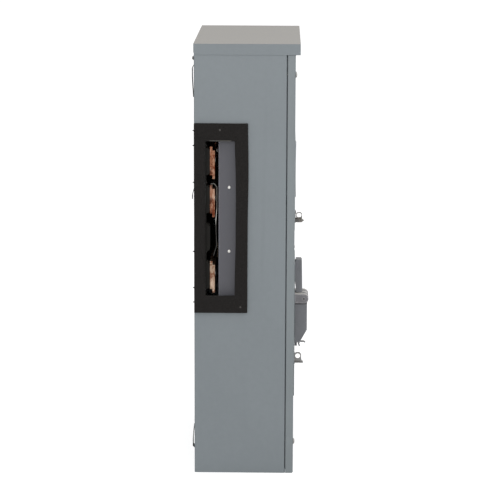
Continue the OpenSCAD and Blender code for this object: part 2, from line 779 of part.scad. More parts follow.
ground_z = 120;
module ground_bar() {
    color(tin) difference() {
        union() {
            block([100, 190], [sheet + 8, sheet + 20], [ground_z - 7, ground_z + 7]);
            for (x = [108, 182])
                facing_front(x, sheet, ground_z) cylinder(h = 9, r = 6);
        }
        for (x = [122 : 12 : 170]) {
            translate([x, back_y - sheet - 14, ground_z - 8]) cylinder(h = 16, r = 3);
            facing_front(x, sheet + 14, ground_z) cylinder(h = 7, r = 2.5);
        }
    }
}

// ---- Front cover ----

meter_cover_x = 122;
meter_cover_z = [641, 905];
breaker_cover_x = 96;
breaker_cover_z = [166, 546];
plate_face = cover_face + 3.2;
meter_face = cover_face + sheet;

// The outside of the cover pan, round at every front edge, set in by t on all sides
module pan_solid(t) {
    r = bend_r + 1 - t;
    intersection() {
        upward(t, cover_top - t)
            round_rect([-half_w + t, cover_back - 3 * t - 20], [half_w - t, cover_face - t], r);
        across(-half_w, half_w)
            round_rect([cover_back - 3 * t - 20, t], [cover_face - t, cover_top - t], r);
    }
}

module front_cover() {
    color(steel_grey) difference() {
        pan_solid(0);
        pan_solid(sheet);
        block([-half_w - 1, half_w + 1], [cover_back - 60, cover_back], [-1, total_h]);
        forward(cover_face - 5, cover_face + 5) {
            round_rect([-100, meter_cover_z[0] + 27], [100, meter_cover_z[1] - 18], 8);
            round_rect([-78, breaker_cover_z[0] + 40], [78, breaker_cover_z[1] - 30], 8);
        }
        cover_screw_holes(cover_face - 5, cover_face + 5, 2.9);
        both_sides() facing_front(cover_screw_x, cover_face - 5, cover_rivet_z) cylinder(h = 10, r = 2);
    }
}

// Captive cover screws with domed heads, and the two small rivets at mid height
module cover_screws() {
    color(zinc) both_sides() {
        for (z = cover_screw_z)
            facing_front(cover_screw_x, 0, z) {
                translate([0, 0, body_front - 10]) cylinder(h = cover_face - body_front + 10, r = 2.8);
                translate([0, 0, cover_face]) cylinder(h = 1.4, r = 8.6);
                translate([0, 0, cover_face + 1.4]) intersection() {
                    translate([0, 0, -8.9]) sphere(11.7);
                    cylinder(h = 4, r = 7.4);
                }
            }
        facing_front(cover_screw_x, cover_face - 4, cover_rivet_z) {
            cylinder(h = 4, r = 1.95);
            translate([0, 0, 4]) cylinder(h = 1.2, r = 3.6);
        }
    }
}

// ---- Meter cover: a ringless plate whose raised rim is higher above and below than at its sides ----

rim_out = 4.4;
rim_dip = 1.4;
rim_wall = 2;
module meter_cover() {
    saddle_r = (pow(meter_r, 2) + pow(rim_dip, 2)) / (2 * rim_dip);
    color(steel_grey) difference() {
        union() {
            forward(cover_face, meter_face)
                round_rect([-meter_cover_x, meter_cover_z[0]], [meter_cover_x, meter_cover_z[1]], 9);
            facing_front(0, cover_face, meter_z) {
                cylinder(h = rim_out, r = meter_r + rim_wall);
                cylinder(h = sheet + 0.8, r1 = meter_r + 10, r2 = meter_r + 7);
            }
        }
        facing_front(0, cover_face - eps, meter_z) cylinder(h = rim_out + 2 * eps, r = meter_r);
        across(-meter_r - 20, meter_r + 20)
            translate([cover_face + rim_out - rim_dip + saddle_r, meter_z]) circle(saddle_r, $fn = 360);
    }
}

// ---- Meter cover latch ----

latch_f = meter_face + 8;
latch_z = 649.5;
latch_pin_r = 1.6;
latch_eye_f = 281.4;
latch_eye_z = 663.4;

// Fixed leaf with two ears and the latch pin
module latch_base() {
    color(zinc) {
        forward(meter_face, meter_face + 2.4) round_rect([-13, 643.5], [13, 676.5], 2);
        both_sides() across(10.5, 12.5) {
            translate([latch_f, latch_z]) circle(4);
            translate([meter_face, latch_z - 4]) square([8, 8]);
        }
        across(-11, 11) translate([latch_f, latch_z]) circle(latch_pin_r);
        for (x = [-7, 7])
            facing_front(x, meter_face + 2.4, 671.5) cylinder(h = 1, r = 2.6);
    }
}

// Swinging latch: a barrel on the pin, a thick jaw that ends in a point, and a seal eye above it
module meter_latch() {
    tip = 295.2;
    color(zinc) difference() {
        union() {
            across(-10, 10) {
                translate([latch_f, latch_z]) circle(4.8);
                translate([latch_f, latch_z - 4.8]) square([10, 9.6]);
            }
            across(-8, 8) translate([latch_f, latch_z - 4.8]) square([13.2, 8.4]);
            facing_front(0, latch_f + 12, latch_z - 0.6) {
                cylinder(h = tip - latch_f - 16, r = 3.6);
                translate([0, 0, tip - latch_f - 16]) cylinder(h = 4, r1 = 3.6, r2 = 0.8);
            }
            across(-1.3, 1.3)
                round_rect([latch_eye_f - 8.3, latch_z + 3], [latch_eye_f + 8.3, latch_eye_z + 8.2], 6);
        }
        across(-11, 11)
            round_rect([latch_eye_f - 6.6, latch_eye_z - 6], [latch_eye_f + 6.6, latch_eye_z + 6.2], 5);
        across(-11, 11) translate([latch_f, latch_z]) circle(latch_pin_r + 0.06);
    }
}

// ---- Breaker cover, guard, hasp and lid ----

module breaker_cover() {
    color(steel_grey) difference() {
        union() {
            forward(plate_face - sheet, plate_face)
                round_rect([-breaker_cover_x, breaker_cover_z[0]], [breaker_cover_x, breaker_cover_z[1]], 5);
            // turned edge that seats on the front cover
            forward(cover_face, plate_face - sheet) difference() {
                round_rect([-breaker_cover_x, breaker_cover_z[0]], [breaker_cover_x, breaker_cover_z[1]], 5);
                round_rect([-breaker_cover_x + sheet, breaker_cover_z[0] + sheet],
                    [breaker_cover_x - sheet, breaker_cover_z[1] - sheet], 4);
            }
        }
        forward(cover_face - eps, plate_face + eps)
            round_rect([-23, nose_z[0] - 1], [23, nose_z[1] + 1], 3);
    }
}

guard_x = 17;
guard_z = [446, 540];
guard_mid_f = 285.6;
guard_root_f = plate_face + 2.6;
guard_shelf_z = guard_z[1] - 3.4;

// The guard's body: a narrow moulding, its rear side set back towards the hood
module guard_block() {
    color(lid_grey) across(-guard_x, guard_x)
        polygon([[plate_face, guard_z[1] - 8], [guard_root_f, guard_shelf_z], [guard_mid_f, guard_shelf_z],
            [guard_mid_f, guard_z[0]], [guard_root_f, guard_z[0]], [guard_root_f, guard_z[0] + 14],
            [plate_face, guard_z[0] + 36]]);
}

// The shield over it: a top shelf and a front leaf with round upright edges
module guard_shield() {
    color(lid_grey) intersection() {
        across(-guard_x, guard_x)
            polygon([[guard_root_f, guard_z[1]], [288, guard_z[1]], [290.4, guard_z[1] - 3],
                [292.3, guard_z[0]], [guard_mid_f, guard_z[0]], [guard_mid_f, guard_shelf_z],
                [guard_root_f, guard_shelf_z]]);
        upward(guard_z[0], guard_z[1]) round_rect([-guard_x, plate_face - 20], [guard_x, 292.4], 6);
    }
}

// Padlock hasp: a shelf with an upright eye plate, on a leaf fixed to the breaker cover
hasp_z = 241.5;
hasp_eye = [280.6, 257.8];
hasp_eye_r = 7;
module breaker_hasp() {
    color(zinc) difference() {
        union() {
            across(-1.3, 1.3)
                polygon([[plate_face, hasp_z], [293.4, hasp_z], [290.6, hasp_z + 9], [290.6, 263],
                    [285.4, 268.6], [276, 268.6], [plate_face, 263.4]]);
            block([-10, 10], [plate_face, 296], [hasp_z - 2, hasp_z]);
            forward(plate_face, plate_face + 1.6) round_rect([-14, hasp_z - 4], [14, hasp_z + 25], 2);
            for (x = [-8, 8])
                facing_front(x, plate_face + 1.6, hasp_z + 18) cylinder(h = 1.2, r = 3);
        }
        across(-3, 3) translate(hasp_eye) circle(hasp_eye_r);
    }
}

lid_x = lid_w / 2;
lid_pivot = [296.3, 432];
lid_top = 416;
lid_front = 305.5;
lid_foot = [285.1, 306.5];
lid_pin_r = 2.5;
knuckle_x = [8, 24];
knuckle_gap = 0.4;
knuckle_clear = barrel_r + 0.5;

// Rain hood over the lid: a shelf whose front edge carries the fixed knuckles
module lid_hood() {
    color(lid_grey) difference() {
        across(-lid_x, lid_x) {
            translate([plate_face, lid_pivot[1] - barrel_r])
                square([lid_pivot[0] - plate_face, 2 * barrel_r]);
            translate(lid_pivot) circle(barrel_r);
        }
        // room for the lid's own knuckles and their necks
        both_sides() across(knuckle_x[0], knuckle_x[1]) {
            translate(lid_pivot) circle(knuckle_clear);
            translate(lid_pivot - [knuckle_clear, 40]) square([2 * knuckle_clear + 10, 40]);
            translate(lid_pivot - [0, 40]) square([40, 80]);
        }
        across(-lid_x - 1, lid_x + 1) translate(lid_pivot) circle(lid_pin_r);
        // hollow underside
        block([-knuckle_x[0] + 2.5, knuckle_x[0] - 2.5], [plate_face + 3, 280], [400, 438]);
        both_sides() block([knuckle_x[1] + 2.5, lid_x - 2.5], [plate_face + 3, 280], [400, 438]);
    }
}

// Side view of the lid, set in by t: upright front, slanted foot
module lid_side(t) {
    slant = t * 0.55;
    polygon([[plate_face + 0.8, lid_top - t], [lid_front - t, lid_top - t], [lid_front - t, 343 + slant],
        [lid_foot[0] - slant, lid_foot[1] + t], [plate_face + 0.8, lid_foot[1] + t]]);
}

// The lid: an open-backed moulding with two knuckles, and a thumb hook and snap legs at its foot
module breaker_lid() {
    color(lid_grey) difference() {
        union() {
            difference() {
                across(-lid_x, lid_x) lid_side(0);
                across(-lid_x + lid_wall, lid_x - lid_wall) {
                    lid_side(lid_wall);
                    translate([plate_face - 1, lid_foot[1] + lid_wall])
                        square([4, lid_top - lid_foot[1] - 2 * lid_wall]);
                }
            }
            both_sides() across(knuckle_x[0] + knuckle_gap, knuckle_x[1] - knuckle_gap) {
                translate(lid_pivot) circle(barrel_r);
                polygon([[lid_pivot[0] - 8, lid_top - lid_wall], [lid_pivot[0] - 8, lid_pivot[1] - 9],
                    [lid_pivot[0] + 11, lid_pivot[1] - 6], [lid_front, lid_top - 2],
                    [lid_front, lid_top - lid_wall]]);
            }
            // pairs of snap legs: a straight one behind and a sprung one in front
            both_sides() across(14, 22) {
                translate([plate_face + 0.8, lid_foot[1] - 14]) square([6.4, 15]);
                bent_strip([[281.9, lid_foot[1] + 1], [282.4, lid_foot[1] - 7], [285, lid_foot[1] - 15]],
                    3.4);
            }
            // thumb hook
            across(-7, 7) bent_strip([[283.6, lid_foot[1] + 1], [288, lid_foot[1] - 6.2],
                [296, lid_foot[1] - 5.8], [301.8, lid_foot[1] - 8]], 1.6);
        }
        across(-lid_x, lid_x) translate(lid_pivot) circle(lid_pin_r + 0.06);
    }
}

module lid_pin()
    color(zinc) across(-lid_x + 0.5, lid_x - 0.5) translate(lid_pivot) circle(lid_pin_r);

body_wrap();
top_panel();
bottom_panel();
rain_cap();
wall_hangers();
mid_tabs();
foot_tabs();
closing_plate();
shell_screws();
support_screws();
side_gasket();
gasket_rivets();
bus_support_left();
bus_support_right();
line_bus_a();
line_bus_b();
neutral_bus();
joint_plates_left();
joint_plates_right();
neutral_joints();
bus_bolts();
barrier_film();
barrier_left();
barrier_right();
barrier_screws();
interior_pan();
pan_rail_top();
pan_rail_bottom();
socket_base();
base_screws();
line_jaw_a();
line_jaw_b();
load_jaw_a();
load_jaw_b();
jaw_screws();
riser_a();
riser_b();
load_strap_a();
load_strap_b();
main_breaker();
breaker_toggle();
load_lug_a();
load_lug_b();
lug_screws();
neutral_strap();
neutral_lug();
ground_bar();
front_cover();
cover_screws();
meter_cover();
latch_base();
meter_latch();
breaker_cover();
guard_block();
guard_shield();
breaker_hasp();
lid_hood();
breaker_lid();
lid_pin();
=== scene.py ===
"""Looks of a wall-mounted meter socket enclosure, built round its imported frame.

Everything is in metres in the row frame: +Z up, the front cover towards -Y, the wall behind at +Y,
and the gasketed bus opening in the side wall at -X.
"""

import json
import logging
import math
from dataclasses import dataclass, replace
from enum import Enum
from typing import Callable, Sequence

import bmesh
import bpy
import numpy as np
from mathutils import Matrix, Vector


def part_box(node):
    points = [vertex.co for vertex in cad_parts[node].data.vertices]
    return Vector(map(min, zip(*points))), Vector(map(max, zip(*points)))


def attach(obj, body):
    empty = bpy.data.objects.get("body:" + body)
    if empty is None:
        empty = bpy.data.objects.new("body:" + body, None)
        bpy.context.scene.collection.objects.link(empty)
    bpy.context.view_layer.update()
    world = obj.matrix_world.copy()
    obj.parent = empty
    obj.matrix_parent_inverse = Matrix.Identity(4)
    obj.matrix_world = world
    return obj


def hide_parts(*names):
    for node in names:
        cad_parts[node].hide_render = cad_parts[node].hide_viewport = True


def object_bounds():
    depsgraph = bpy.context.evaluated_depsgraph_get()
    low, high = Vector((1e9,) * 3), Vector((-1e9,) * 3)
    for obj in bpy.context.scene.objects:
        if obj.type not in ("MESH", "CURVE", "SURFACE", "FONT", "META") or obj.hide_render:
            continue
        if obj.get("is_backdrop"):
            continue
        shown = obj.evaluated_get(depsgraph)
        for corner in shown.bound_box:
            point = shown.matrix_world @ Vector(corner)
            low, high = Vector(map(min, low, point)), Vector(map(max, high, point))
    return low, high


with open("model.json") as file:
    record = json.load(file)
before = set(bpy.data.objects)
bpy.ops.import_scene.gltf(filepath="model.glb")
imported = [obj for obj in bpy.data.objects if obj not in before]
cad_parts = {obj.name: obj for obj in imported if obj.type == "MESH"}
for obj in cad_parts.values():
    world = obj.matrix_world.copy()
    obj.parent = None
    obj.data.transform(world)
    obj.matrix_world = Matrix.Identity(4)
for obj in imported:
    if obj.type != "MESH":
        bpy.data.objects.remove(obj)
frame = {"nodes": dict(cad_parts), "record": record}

Array = np.ndarray
Shell = tuple[Array, Array]
Place = tuple[float, float, float]
Colour = Place
Piece = bpy.types.Object
Group = bpy.types.NodeTree
Socket = bpy.types.NodeSocket
Sockets = bpy.types.NodeOutputs
Value = Socket | float
WHITE = (1.0, 1.0, 1.0)
LOG = logging.getLogger("enclosure")
MM = 0.001
FULL_TURN = 2 * math.pi
QUARTER_TURN = math.pi / 2
WELD = 0.01 * MM
SEAM = 0.002 * MM
ARC_POINTS = 7
ROUNDING_SAMPLES = 6


# ---------------------------------------- places in the frame


class Facing(Enum):
    """Which way a part that is drawn along +Z points once it is in place.

    Each value holds the rows of the turn that carries local axes to the row frame.
    """

    FRONT = ((1, 0, 0), (0, 0, -1), (0, 1, 0))
    BACK = ((-1, 0, 0), (0, 0, 1), (0, 1, 0))
    LEFT = ((0, 0, -1), (-1, 0, 0), (0, 1, 0))
    RIGHT = ((0, 0, 1), (1, 0, 0), (0, 1, 0))

    def turn(self) -> Array:
        """The 3 by 3 turn as an array."""
        return np.array(self.value, float)

    def axis(self) -> Array:
        """The direction that the part's own +Z takes in the row frame."""
        return self.turn()[:, 2]

    def at(self, x: float) -> "Facing":
        """The same way; for a part in a side wall, out of the side that x is on."""
        sideways = Facing.LEFT if x < 0 else Facing.RIGHT
        return self if self in (Facing.FRONT, Facing.BACK) else sideways


def solid_boxes(node: str) -> list[tuple[Array, Array]]:
    """Finds the separate solids of a CAD node by letting the lowest vertex number spread along faces.

    Args:
        node: name of the CAD node.

    Returns:
        The lowest and highest corner of each solid, in metres, sorted by place.
    """
    mesh = frame["nodes"][node].data
    places = np.zeros(len(mesh.vertices) * 3)
    mesh.vertices.foreach_get("co", places)
    places = places.reshape(-1, 3)
    corners = np.zeros(len(mesh.loop_triangles) * 3, int)
    mesh.loop_triangles.foreach_get("vertices", corners)
    _, welded = np.unique(np.round(places / WELD).astype(int), axis=0, return_inverse=True)
    triangles = welded.ravel()[corners].reshape(-1, 3)
    label = np.arange(welded.max() + 1)
    spreading = True
    while spreading:
        lowest = label[triangles].min(axis=1)
        before = label.copy()
        for corner in range(3):
            np.minimum.at(label, triangles[:, corner], lowest)
        label = label[label]
        spreading = bool((label != before).any())
    of_vertex = label[welded.ravel()]
    solids = [places[of_vertex == k] for k in np.unique(of_vertex)]
    boxes = [(solid.min(axis=0), solid.max(axis=0)) for solid in solids]
    return sorted(boxes, key=lambda b: tuple(np.round(b[0], 4)))


# ---------------------------------------- parametric surfaces


def smooth_step(low: float, high: float, value: Array) -> Array:
    """Rises from 0 to 1 between low and high as 3t^2 - 2t^3."""
    t = np.clip((value - low) / (high - low), 0.0, 1.0)
    return t * t * (3 - 2 * t)


def ripple(seed: int, waves: int, *coordinates: Array) -> Array:
    """A gentle repeatable unevenness between about -1 and 1: a sum of sines in random directions.

    Args:
        seed: picks the directions and phases.
        waves: how many sines are added.
        coordinates: the places along each direction, in wavelengths.

    Returns:
        The height at each place.
    """
    draw = np.random.default_rng(seed)
    total = np.zeros(np.broadcast(*coordinates).shape)
    for _ in range(waves):
        phase = draw.uniform(0, FULL_TURN)
        for coordinate in coordinates:
            phase = phase + FULL_TURN * draw.uniform(-1.3, 1.3) * coordinate
        total += np.sin(phase)
    return total / math.sqrt(waves)


def grid_shell(points: Array, close_rows: bool = False, close_columns: bool = False) -> Shell:
    """Joins a grid of points into quads.

    Args:
        points: array of shape (rows, columns, 3).
        close_rows: whether the last row joins the first.
        close_columns: whether the last column joins the first.

    Returns:
        The points as a list of places, and the faces as rows of four numbers.
    """
    rows, columns = points.shape[:2]
    i, j = np.meshgrid(
        np.arange(rows - (not close_rows)), np.arange(columns - (not close_columns)), indexing="ij"
    )
    down, right = (i + 1) % rows, (j + 1) % columns
    quads = np.stack([i * columns + j, down * columns + j, down * columns + right, i * columns + right], -1)
    return points.reshape(-1, 3), quads.reshape(-1, 4)


def lathe(radii: Array, heights: Array, segments: int = 48) -> Array:
    """Turns a profile about +Z: the point (i, j) is (r_i cos t_j, r_i sin t_j, h_i).

    Args:
        radii: of the profile's points.
        heights: of the profile's points.
        segments: how many steps the turn has.

    Returns:
        Array of shape (points, segments, 3).
    """
    angle = np.linspace(0, FULL_TURN, segments, endpoint=False)
    ring = np.stack([np.cos(angle), np.sin(angle)], -1)
    flat = np.asarray(radii)[:, None, None] * ring[None]
    height = np.broadcast_to(np.asarray(heights, float)[:, None, None], flat.shape[:2] + (1,))
    return np.concatenate([flat, height], -1)


def make_piece(
    name: str, shells: Sequence[Shell], material: bpy.types.Material, sharp: float = 40
) -> Piece:
    """Puts shells into one mesh object at the origin, with its seams closed and its faces outward.

    Args:
        name: name of the piece.
        shells: places and quads of each shell.
        material: the finish of the whole piece.
        sharp: edges that turn more than this many degrees stay crisp.

    Returns:
        The new object.
    """
    offsets = np.cumsum([0] + [len(places) for places, _ in shells[:-1]])
    places = np.concatenate([places for places, _ in shells])
    quads = np.concatenate([faces + start for (_, faces), start in zip(shells, offsets)])
    mesh = bpy.data.meshes.new(name)
    mesh.from_pydata(places, [], quads)
    work = bmesh.new()
    work.from_mesh(mesh)
    bmesh.ops.remove_doubles(work, verts=work.verts, dist=SEAM)
    bmesh.ops.recalc_face_normals(work, faces=work.faces)
    work.to_mesh(mesh)
    work.free()
    mesh.polygons.foreach_set("use_smooth", np.ones(len(mesh.polygons), bool))
    mesh.set_sharp_from_angle(angle=math.radians(sharp))
    mesh.materials.append(material)
    piece = bpy.data.objects.new(name, mesh)
    bpy.context.scene.collection.objects.link(piece)
    return piece


# ---------------------------------------- node trees


def linear(red: float, green: float, blue: float) -> Colour:
    """Turns screen values from 0 to 255 into the linear values that shaders take."""
    shares = (red / 255, green / 255, blue / 255)
    return tuple(s / 12.92 if s <= 0.04045 else ((s + 0.055) / 1.055) ** 2.4 for s in shares)


def spaced(inputs: dict) -> dict:
    """The same values under names with spaces, as Blender writes its sockets."""
    return {name.replace("_", " "): value for name, value in inputs.items()}


class Tree:
    """Adds nodes to one node tree and wires them as it goes."""

    def __init__(self, tree: Group) -> None:
        """Takes the tree to add to."""
        self.tree = tree

    @classmethod
    def blank(cls, holder: bpy.types.Material | bpy.types.World) -> "Tree":
        """Opens the node tree of a material or a world.

        Args:
            holder: the material or world.

        Returns:
            Its tree, emptied.
        """
        holder.use_nodes = True
        holder.node_tree.nodes.clear()
        return cls(holder.node_tree)

    def node(self, kind: str, inputs: dict | None = None, **settings: object) -> bpy.types.Node:
        """Adds a node.

        Args:
            kind: the node's type.
            inputs: socket name or number to a value, or to the output socket that feeds it.
            settings: attributes of the node.

        Returns:
            The new node.
        """
        made = self.tree.nodes.new(kind)
        for key, value in settings.items():
            setattr(made, key, value)
        for key, value in (inputs or {}).items():
            if isinstance(value, Socket):
                self.tree.links.new(value, made.inputs[key])
            elif isinstance(value, tuple) and len(value) == 3 and made.inputs[key].type == "RGBA":
                made.inputs[key].default_value = (*value, 1.0)
            else:
                made.inputs[key].default_value = value
        return made

    def maths(self, operation: str, first: Value, second: Value = 0.0) -> Socket:
        """One sum on numbers, kept between 0 and 1 where the operation ends in _CLAMPED."""
        sort = {"operation": operation.removesuffix("_CLAMPED"), "use_clamp": operation.endswith("_CLAMPED")}
        return self.node("ShaderNodeMath", {0: first, 1: second}, **sort).outputs[0]

    def times(self, *values: Value) -> Socket:
        """The product of two numbers."""
        return self.maths("MULTIPLY", *values)

    def gap(self, value: Value, centre: float) -> Socket:
        """How far a value is from a centre, either way."""
        return self.maths("ABSOLUTE", self.maths("SUBTRACT", value, centre))

    def mix(self, share: Value, first: Socket | Colour, second: Socket | Colour) -> Socket:
        """Goes from the first colour to the second as share goes from 0 to 1."""
        inputs = {0: share, 6: first, 7: second}
        return self.node("ShaderNodeMix", inputs, data_type="RGBA").outputs[2]

    def spread(self, value: Value, low: float, high: float, start: float = 0.0, end: float = 1.0) -> Socket:
        """Maps low..high of a value smoothly to start..end."""
        inputs = {"Value": value, "From Min": low, "From Max": high, "To Min": start, "To Max": end}
        return self.node("ShaderNodeMapRange", inputs, interpolation_type="SMOOTHSTEP").outputs[0]

    def place(self, stretch: Sequence[float] = (1, 1, 1)) -> Socket:
        """Object coordinates, with each axis stretched."""
        coordinates = self.node("ShaderNodeTexCoord").outputs["Object"]
        return self.node("ShaderNodeMapping", {"Vector": coordinates, "Scale": tuple(stretch)}).outputs[0]

    def normal(self) -> Socket:
        """The true way that the surface faces."""
        return self.node("ShaderNodeNewGeometry").outputs["Normal"]

    def axes(self, vector: Socket) -> Sockets:
        """The X, Y and Z of a vector."""
        return self.node("ShaderNodeSeparateXYZ", {0: vector}).outputs

    def noise(self, place: Socket, scale: Value, detail: float = 3.0, roughness: float = 0.5) -> Socket:
        """Cloudy noise about 0.5."""
        inputs = {"Vector": place, "Scale": scale, "Detail": detail, "Roughness": roughness}
        return self.node("ShaderNodeTexNoise", inputs).outputs[0]

    def rounded(self, radius: Value) -> Socket:
        """The way that the surface would face with its edges rounded."""
        return self.node("ShaderNodeBevel", {"Radius": radius}, samples=ROUNDING_SAMPLES).outputs[0]

    def use(self, effect: "Effect", *options: str, **inputs: float) -> Sockets:
        """Places a shared effect; an input's name is written with _ for its spaces."""
        return self.node("ShaderNodeGroup", spaced(inputs), node_tree=effect.group(*options)).outputs

    def bump(self, strength: float, depth: float, height: Socket, rounding: float = 0.0) -> Socket:
        """The normal of a relief.

        Args:
            strength: share of the relief that shows.
            depth: of the relief, in metres.
            height: the relief from 0 to 1.
            rounding: radius that the edges beneath look rounded by.

        Returns:
            The normal.
        """
        made = self.node("ShaderNodeBump", {"Strength": strength, "Distance": depth, "Height": height})
        if rounding:
            self.tree.links.new(self.rounded(rounding), made.inputs["Normal"])
        return made.outputs[0]

    def principled(self, colour: Socket | Colour, roughness: Value, **inputs: Value | Colour) -> Socket:
        """The surface shader; an input's name is written with _ for its spaces."""
        every = {"Base Color": colour, "Roughness": roughness} | spaced(inputs)
        return self.node("ShaderNodeBsdfPrincipled", every).outputs[0]


# ---------------------------------------- effects that finishes share


@dataclass(frozen=True)
class Effect:
    """A shader node group with named inputs and outputs, built the first time it is used.

    The wiring is a method of Effects, which takes any options and gives the sockets that feed the
    outputs.
    """

    wire: Callable[..., list[Socket]]
    outputs: tuple[str, ...]
    inputs: dict[str, float]

    def group(self, *options: str) -> Group:
        """Finds the group by the name of its wiring and its options, or builds it.

        Args:
            options: what the wiring takes.

        Returns:
            The group.
        """
        name = "_".join((self.wire.__name__, *options)).lower()
        if name in bpy.data.node_groups:
            return bpy.data.node_groups[name]
        made = bpy.data.node_groups.new(name, "ShaderNodeTree")
        kind = {"socket_type": "NodeSocketFloat"}
        for key, default in self.inputs.items():
            made.interface.new_socket(key, in_out="INPUT", **kind).default_value = default
        for key in self.outputs:
            made.interface.new_socket(key, in_out="OUTPUT", **kind)
        given = made.nodes.new("NodeGroupInput").outputs
        results = made.nodes.new("NodeGroupOutput").inputs
        for key, socket in zip(self.outputs, self.wire(Effects(made, given), *options)):
            made.links.new(socket, results[key])
        return made


def shared(*outputs: str, **inputs: float) -> Callable[[Callable[..., list[Socket]]], Effect]:
    """Turns the wiring below into an effect; an input's name is written with _ for its spaces."""
    return lambda wire: Effect(wire, outputs, spaced(inputs))


class Effects(Tree):
    """Wires the effects that finishes share, each into the tree of its own group."""

    def __init__(self, tree: Group, given: Sockets) -> None:
        """Takes the group's tree and its input sockets."""
        super().__init__(tree)
        self.given = given

    @shared("Mask", Radius=1 * MM, Amount=0.5, Breakup=300.0)
    def edge_wear(self) -> list[Socket]:
        """Worn edges and painted edge highlights: where the normal rounded over a radius leaves the true
        one, broken up by noise.

        Returns:
            The mask.
        """
        normals = {0: self.rounded(self.given["Radius"]), 1: self.normal()}
        match = self.node("ShaderNodeVectorMath", normals, operation="DOT_PRODUCT").outputs["Value"]
        edge = self.maths("MULTIPLY_CLAMPED", self.maths("SUBTRACT", 1.0, match), 6.0)
        broken = self.spread(self.noise(self.place(), self.given["Breakup"], 4.0, 0.65), 0.42, 0.62)
        worn_and_lit = self.times(edge, self.maths("ADD", 0.35, self.times(broken, 0.65)))
        return [self.maths("MULTIPLY_CLAMPED", worn_and_lit, self.given["Amount"])]

    @shared("Mask", Amount=0.5)
    def bend_wear(self) -> list[Socket]:
        """Painted highlight on bends in a square sheet part: where the normal lies between two of the axes.

        Returns:
            The mask.
        """
        size = self.node("ShaderNodeVectorMath", {0: self.normal()}, operation="ABSOLUTE").outputs[0]
        parts = self.axes(size)
        largest = self.maths("MAXIMUM", parts["X"], self.maths("MAXIMUM", parts["Y"], parts["Z"]))
        lit_bend = self.spread(self.maths("SUBTRACT", 1.0, largest), 0.002, 0.05)
        return [self.times(lit_bend, self.given["Amount"])]

    @shared("Tone", Coarse=6.0, Fine=60.0)
    def mottle(self) -> list[Socket]:
        """Uneven tone: coarse cloudy noise and a finer one, from 0 to 1 about 0.5.

        Returns:
            The tone.
        """
        coarse = self.times(self.noise(self.place(), self.given["Coarse"], 4.0, 0.55), 0.65)
        fine = self.times(self.noise(self.place(), self.given["Fine"], 3.0, 0.6), 0.35)
        return [self.spread(self.maths("ADD", coarse, fine), 0.32, 0.68)]

    @shared("Height", Dimples=420.0, Sheet_wave=9.0)
    def orange_peel(self) -> list[Socket]:
        """Sprayed and baked enamel: fine dimples on the slow wave of the sheet beneath.

        Returns:
            The height.
        """
        dimples = self.times(self.noise(self.place(), self.given["Dimples"], 1.5, 0.4), 0.05)
        wave = self.times(self.noise(self.place(), self.given["Sheet wave"], 1.0, 0.3), 0.95)
        return [self.maths("ADD", dimples, wave)]

    @shared("Mask", Amount=0.3, Patches=30.0, Least=0.25)
    def settled_dust(self) -> list[Socket]:
        """Dust on upward faces, soft patches over an even least share; on the hood also a painted highlight.

        Returns:
            The mask.
        """
        upward = self.spread(self.axes(self.normal())["Z"], 0.25, 0.95)
        patches = self.spread(self.noise(self.place(), self.given["Patches"], 5.0, 0.65), 0.35, 0.7)
        patches = self.maths("MAXIMUM", patches, self.given["Least"])
        return [self.times(self.times(upward, patches), self.given["Amount"])]

    @shared("Mask", Lanes=40.0, Amount=0.3)
    def rain_streaks(self) -> list[Socket]:
        """Weather streaks: noise drawn out down the height, strongest in a few lanes.

        Returns:
            The mask.
        """
        fine = self.noise(self.place((1, 1, 0.035)), self.given["Lanes"], 4.0, 0.6)
        broad = self.noise(self.place((1, 1, 0.3)), 5.0, 2.0, 0.5)
        lanes = self.times(self.spread(fine, 0.5, 0.78), self.spread(broad, 0.4, 0.65))
        return [self.times(lanes, self.given["Amount"])]

    @shared("Tone", Lines=900.0)
    def rolled_grain(self, along: str) -> list[Socket]:
        """Fine lines left by rolling or drawing a bar along one axis, X, Y or Z; the tone is about 0.5."""
        stretch = [0.02 if axis == along else 1.0 for axis in "XYZ"]
        return [self.spread(self.noise(self.place(stretch), self.given["Lines"], 3.0, 0.7), 0.3, 0.7)]

    @shared("Pore", "Height", Cells=900.0)
    def open_cells(self) -> list[Socket]:
        """Cut face of foam: round cells of uneven size, lower in their middles and darker there as painted
        shade.

        Returns:
            The mask of the pores and the height.
        """
        inputs = {"Vector": self.place(), "Scale": self.given["Cells"], "Randomness": 1.0}
        cell = self.node("ShaderNodeTexVoronoi", inputs, feature="SMOOTH_F1").outputs["Distance"]
        pore = self.spread(cell, 0.2, 0.55, 1.0, 0.0)
        rough = self.times(self.noise(self.place(), 120.0, 4.0, 0.6), 0.6)
        return [pore, self.maths("SUBTRACT", rough, self.times(pore, 0.4))]


# ---------------------------------------- finishes


@dataclass(frozen=True)
class Finish:
    """What all finishes share: a name and a base colour."""

    name: str
    colour: Colour

    def material(self) -> bpy.types.Material:
        """Makes the material the first time, and gives the same one after that.

        Returns:
            The material.
        """
        made = bpy.data.materials.get(self.name)
        if made is None:
            made = bpy.data.materials.new(self.name)
            tree = Tree.blank(made)
            tree.node("ShaderNodeOutputMaterial", {"Surface": self.shader(tree)})
            made.diffuse_color = (*self.colour, 1.0)
        return made

    def shader(self, tree: Tree) -> Socket:
        """Adds the shader and all that feeds it; each finish has its own."""
        raise NotImplementedError

    def shade(self, by: float) -> Colour:
        """The base colour, lighter or darker."""
        return tuple(min(1.0, channel * by) for channel in self.colour)

    def toned(self, tree: Tree, tone: Socket, dark: float, light: float) -> Socket:
        """Goes from a dark to a light shade of the base colour as the tone goes from 0 to 1."""
        return tree.mix(tone, self.shade(dark), self.shade(light))

    def dress(self, *nodes: str) -> None:
        """Gives this finish to CAD nodes.

        Args:
            nodes: their names.
        """
        for node in nodes:
            materials = frame["nodes"][node].data.materials
            materials.clear()
            materials.append(self.material())


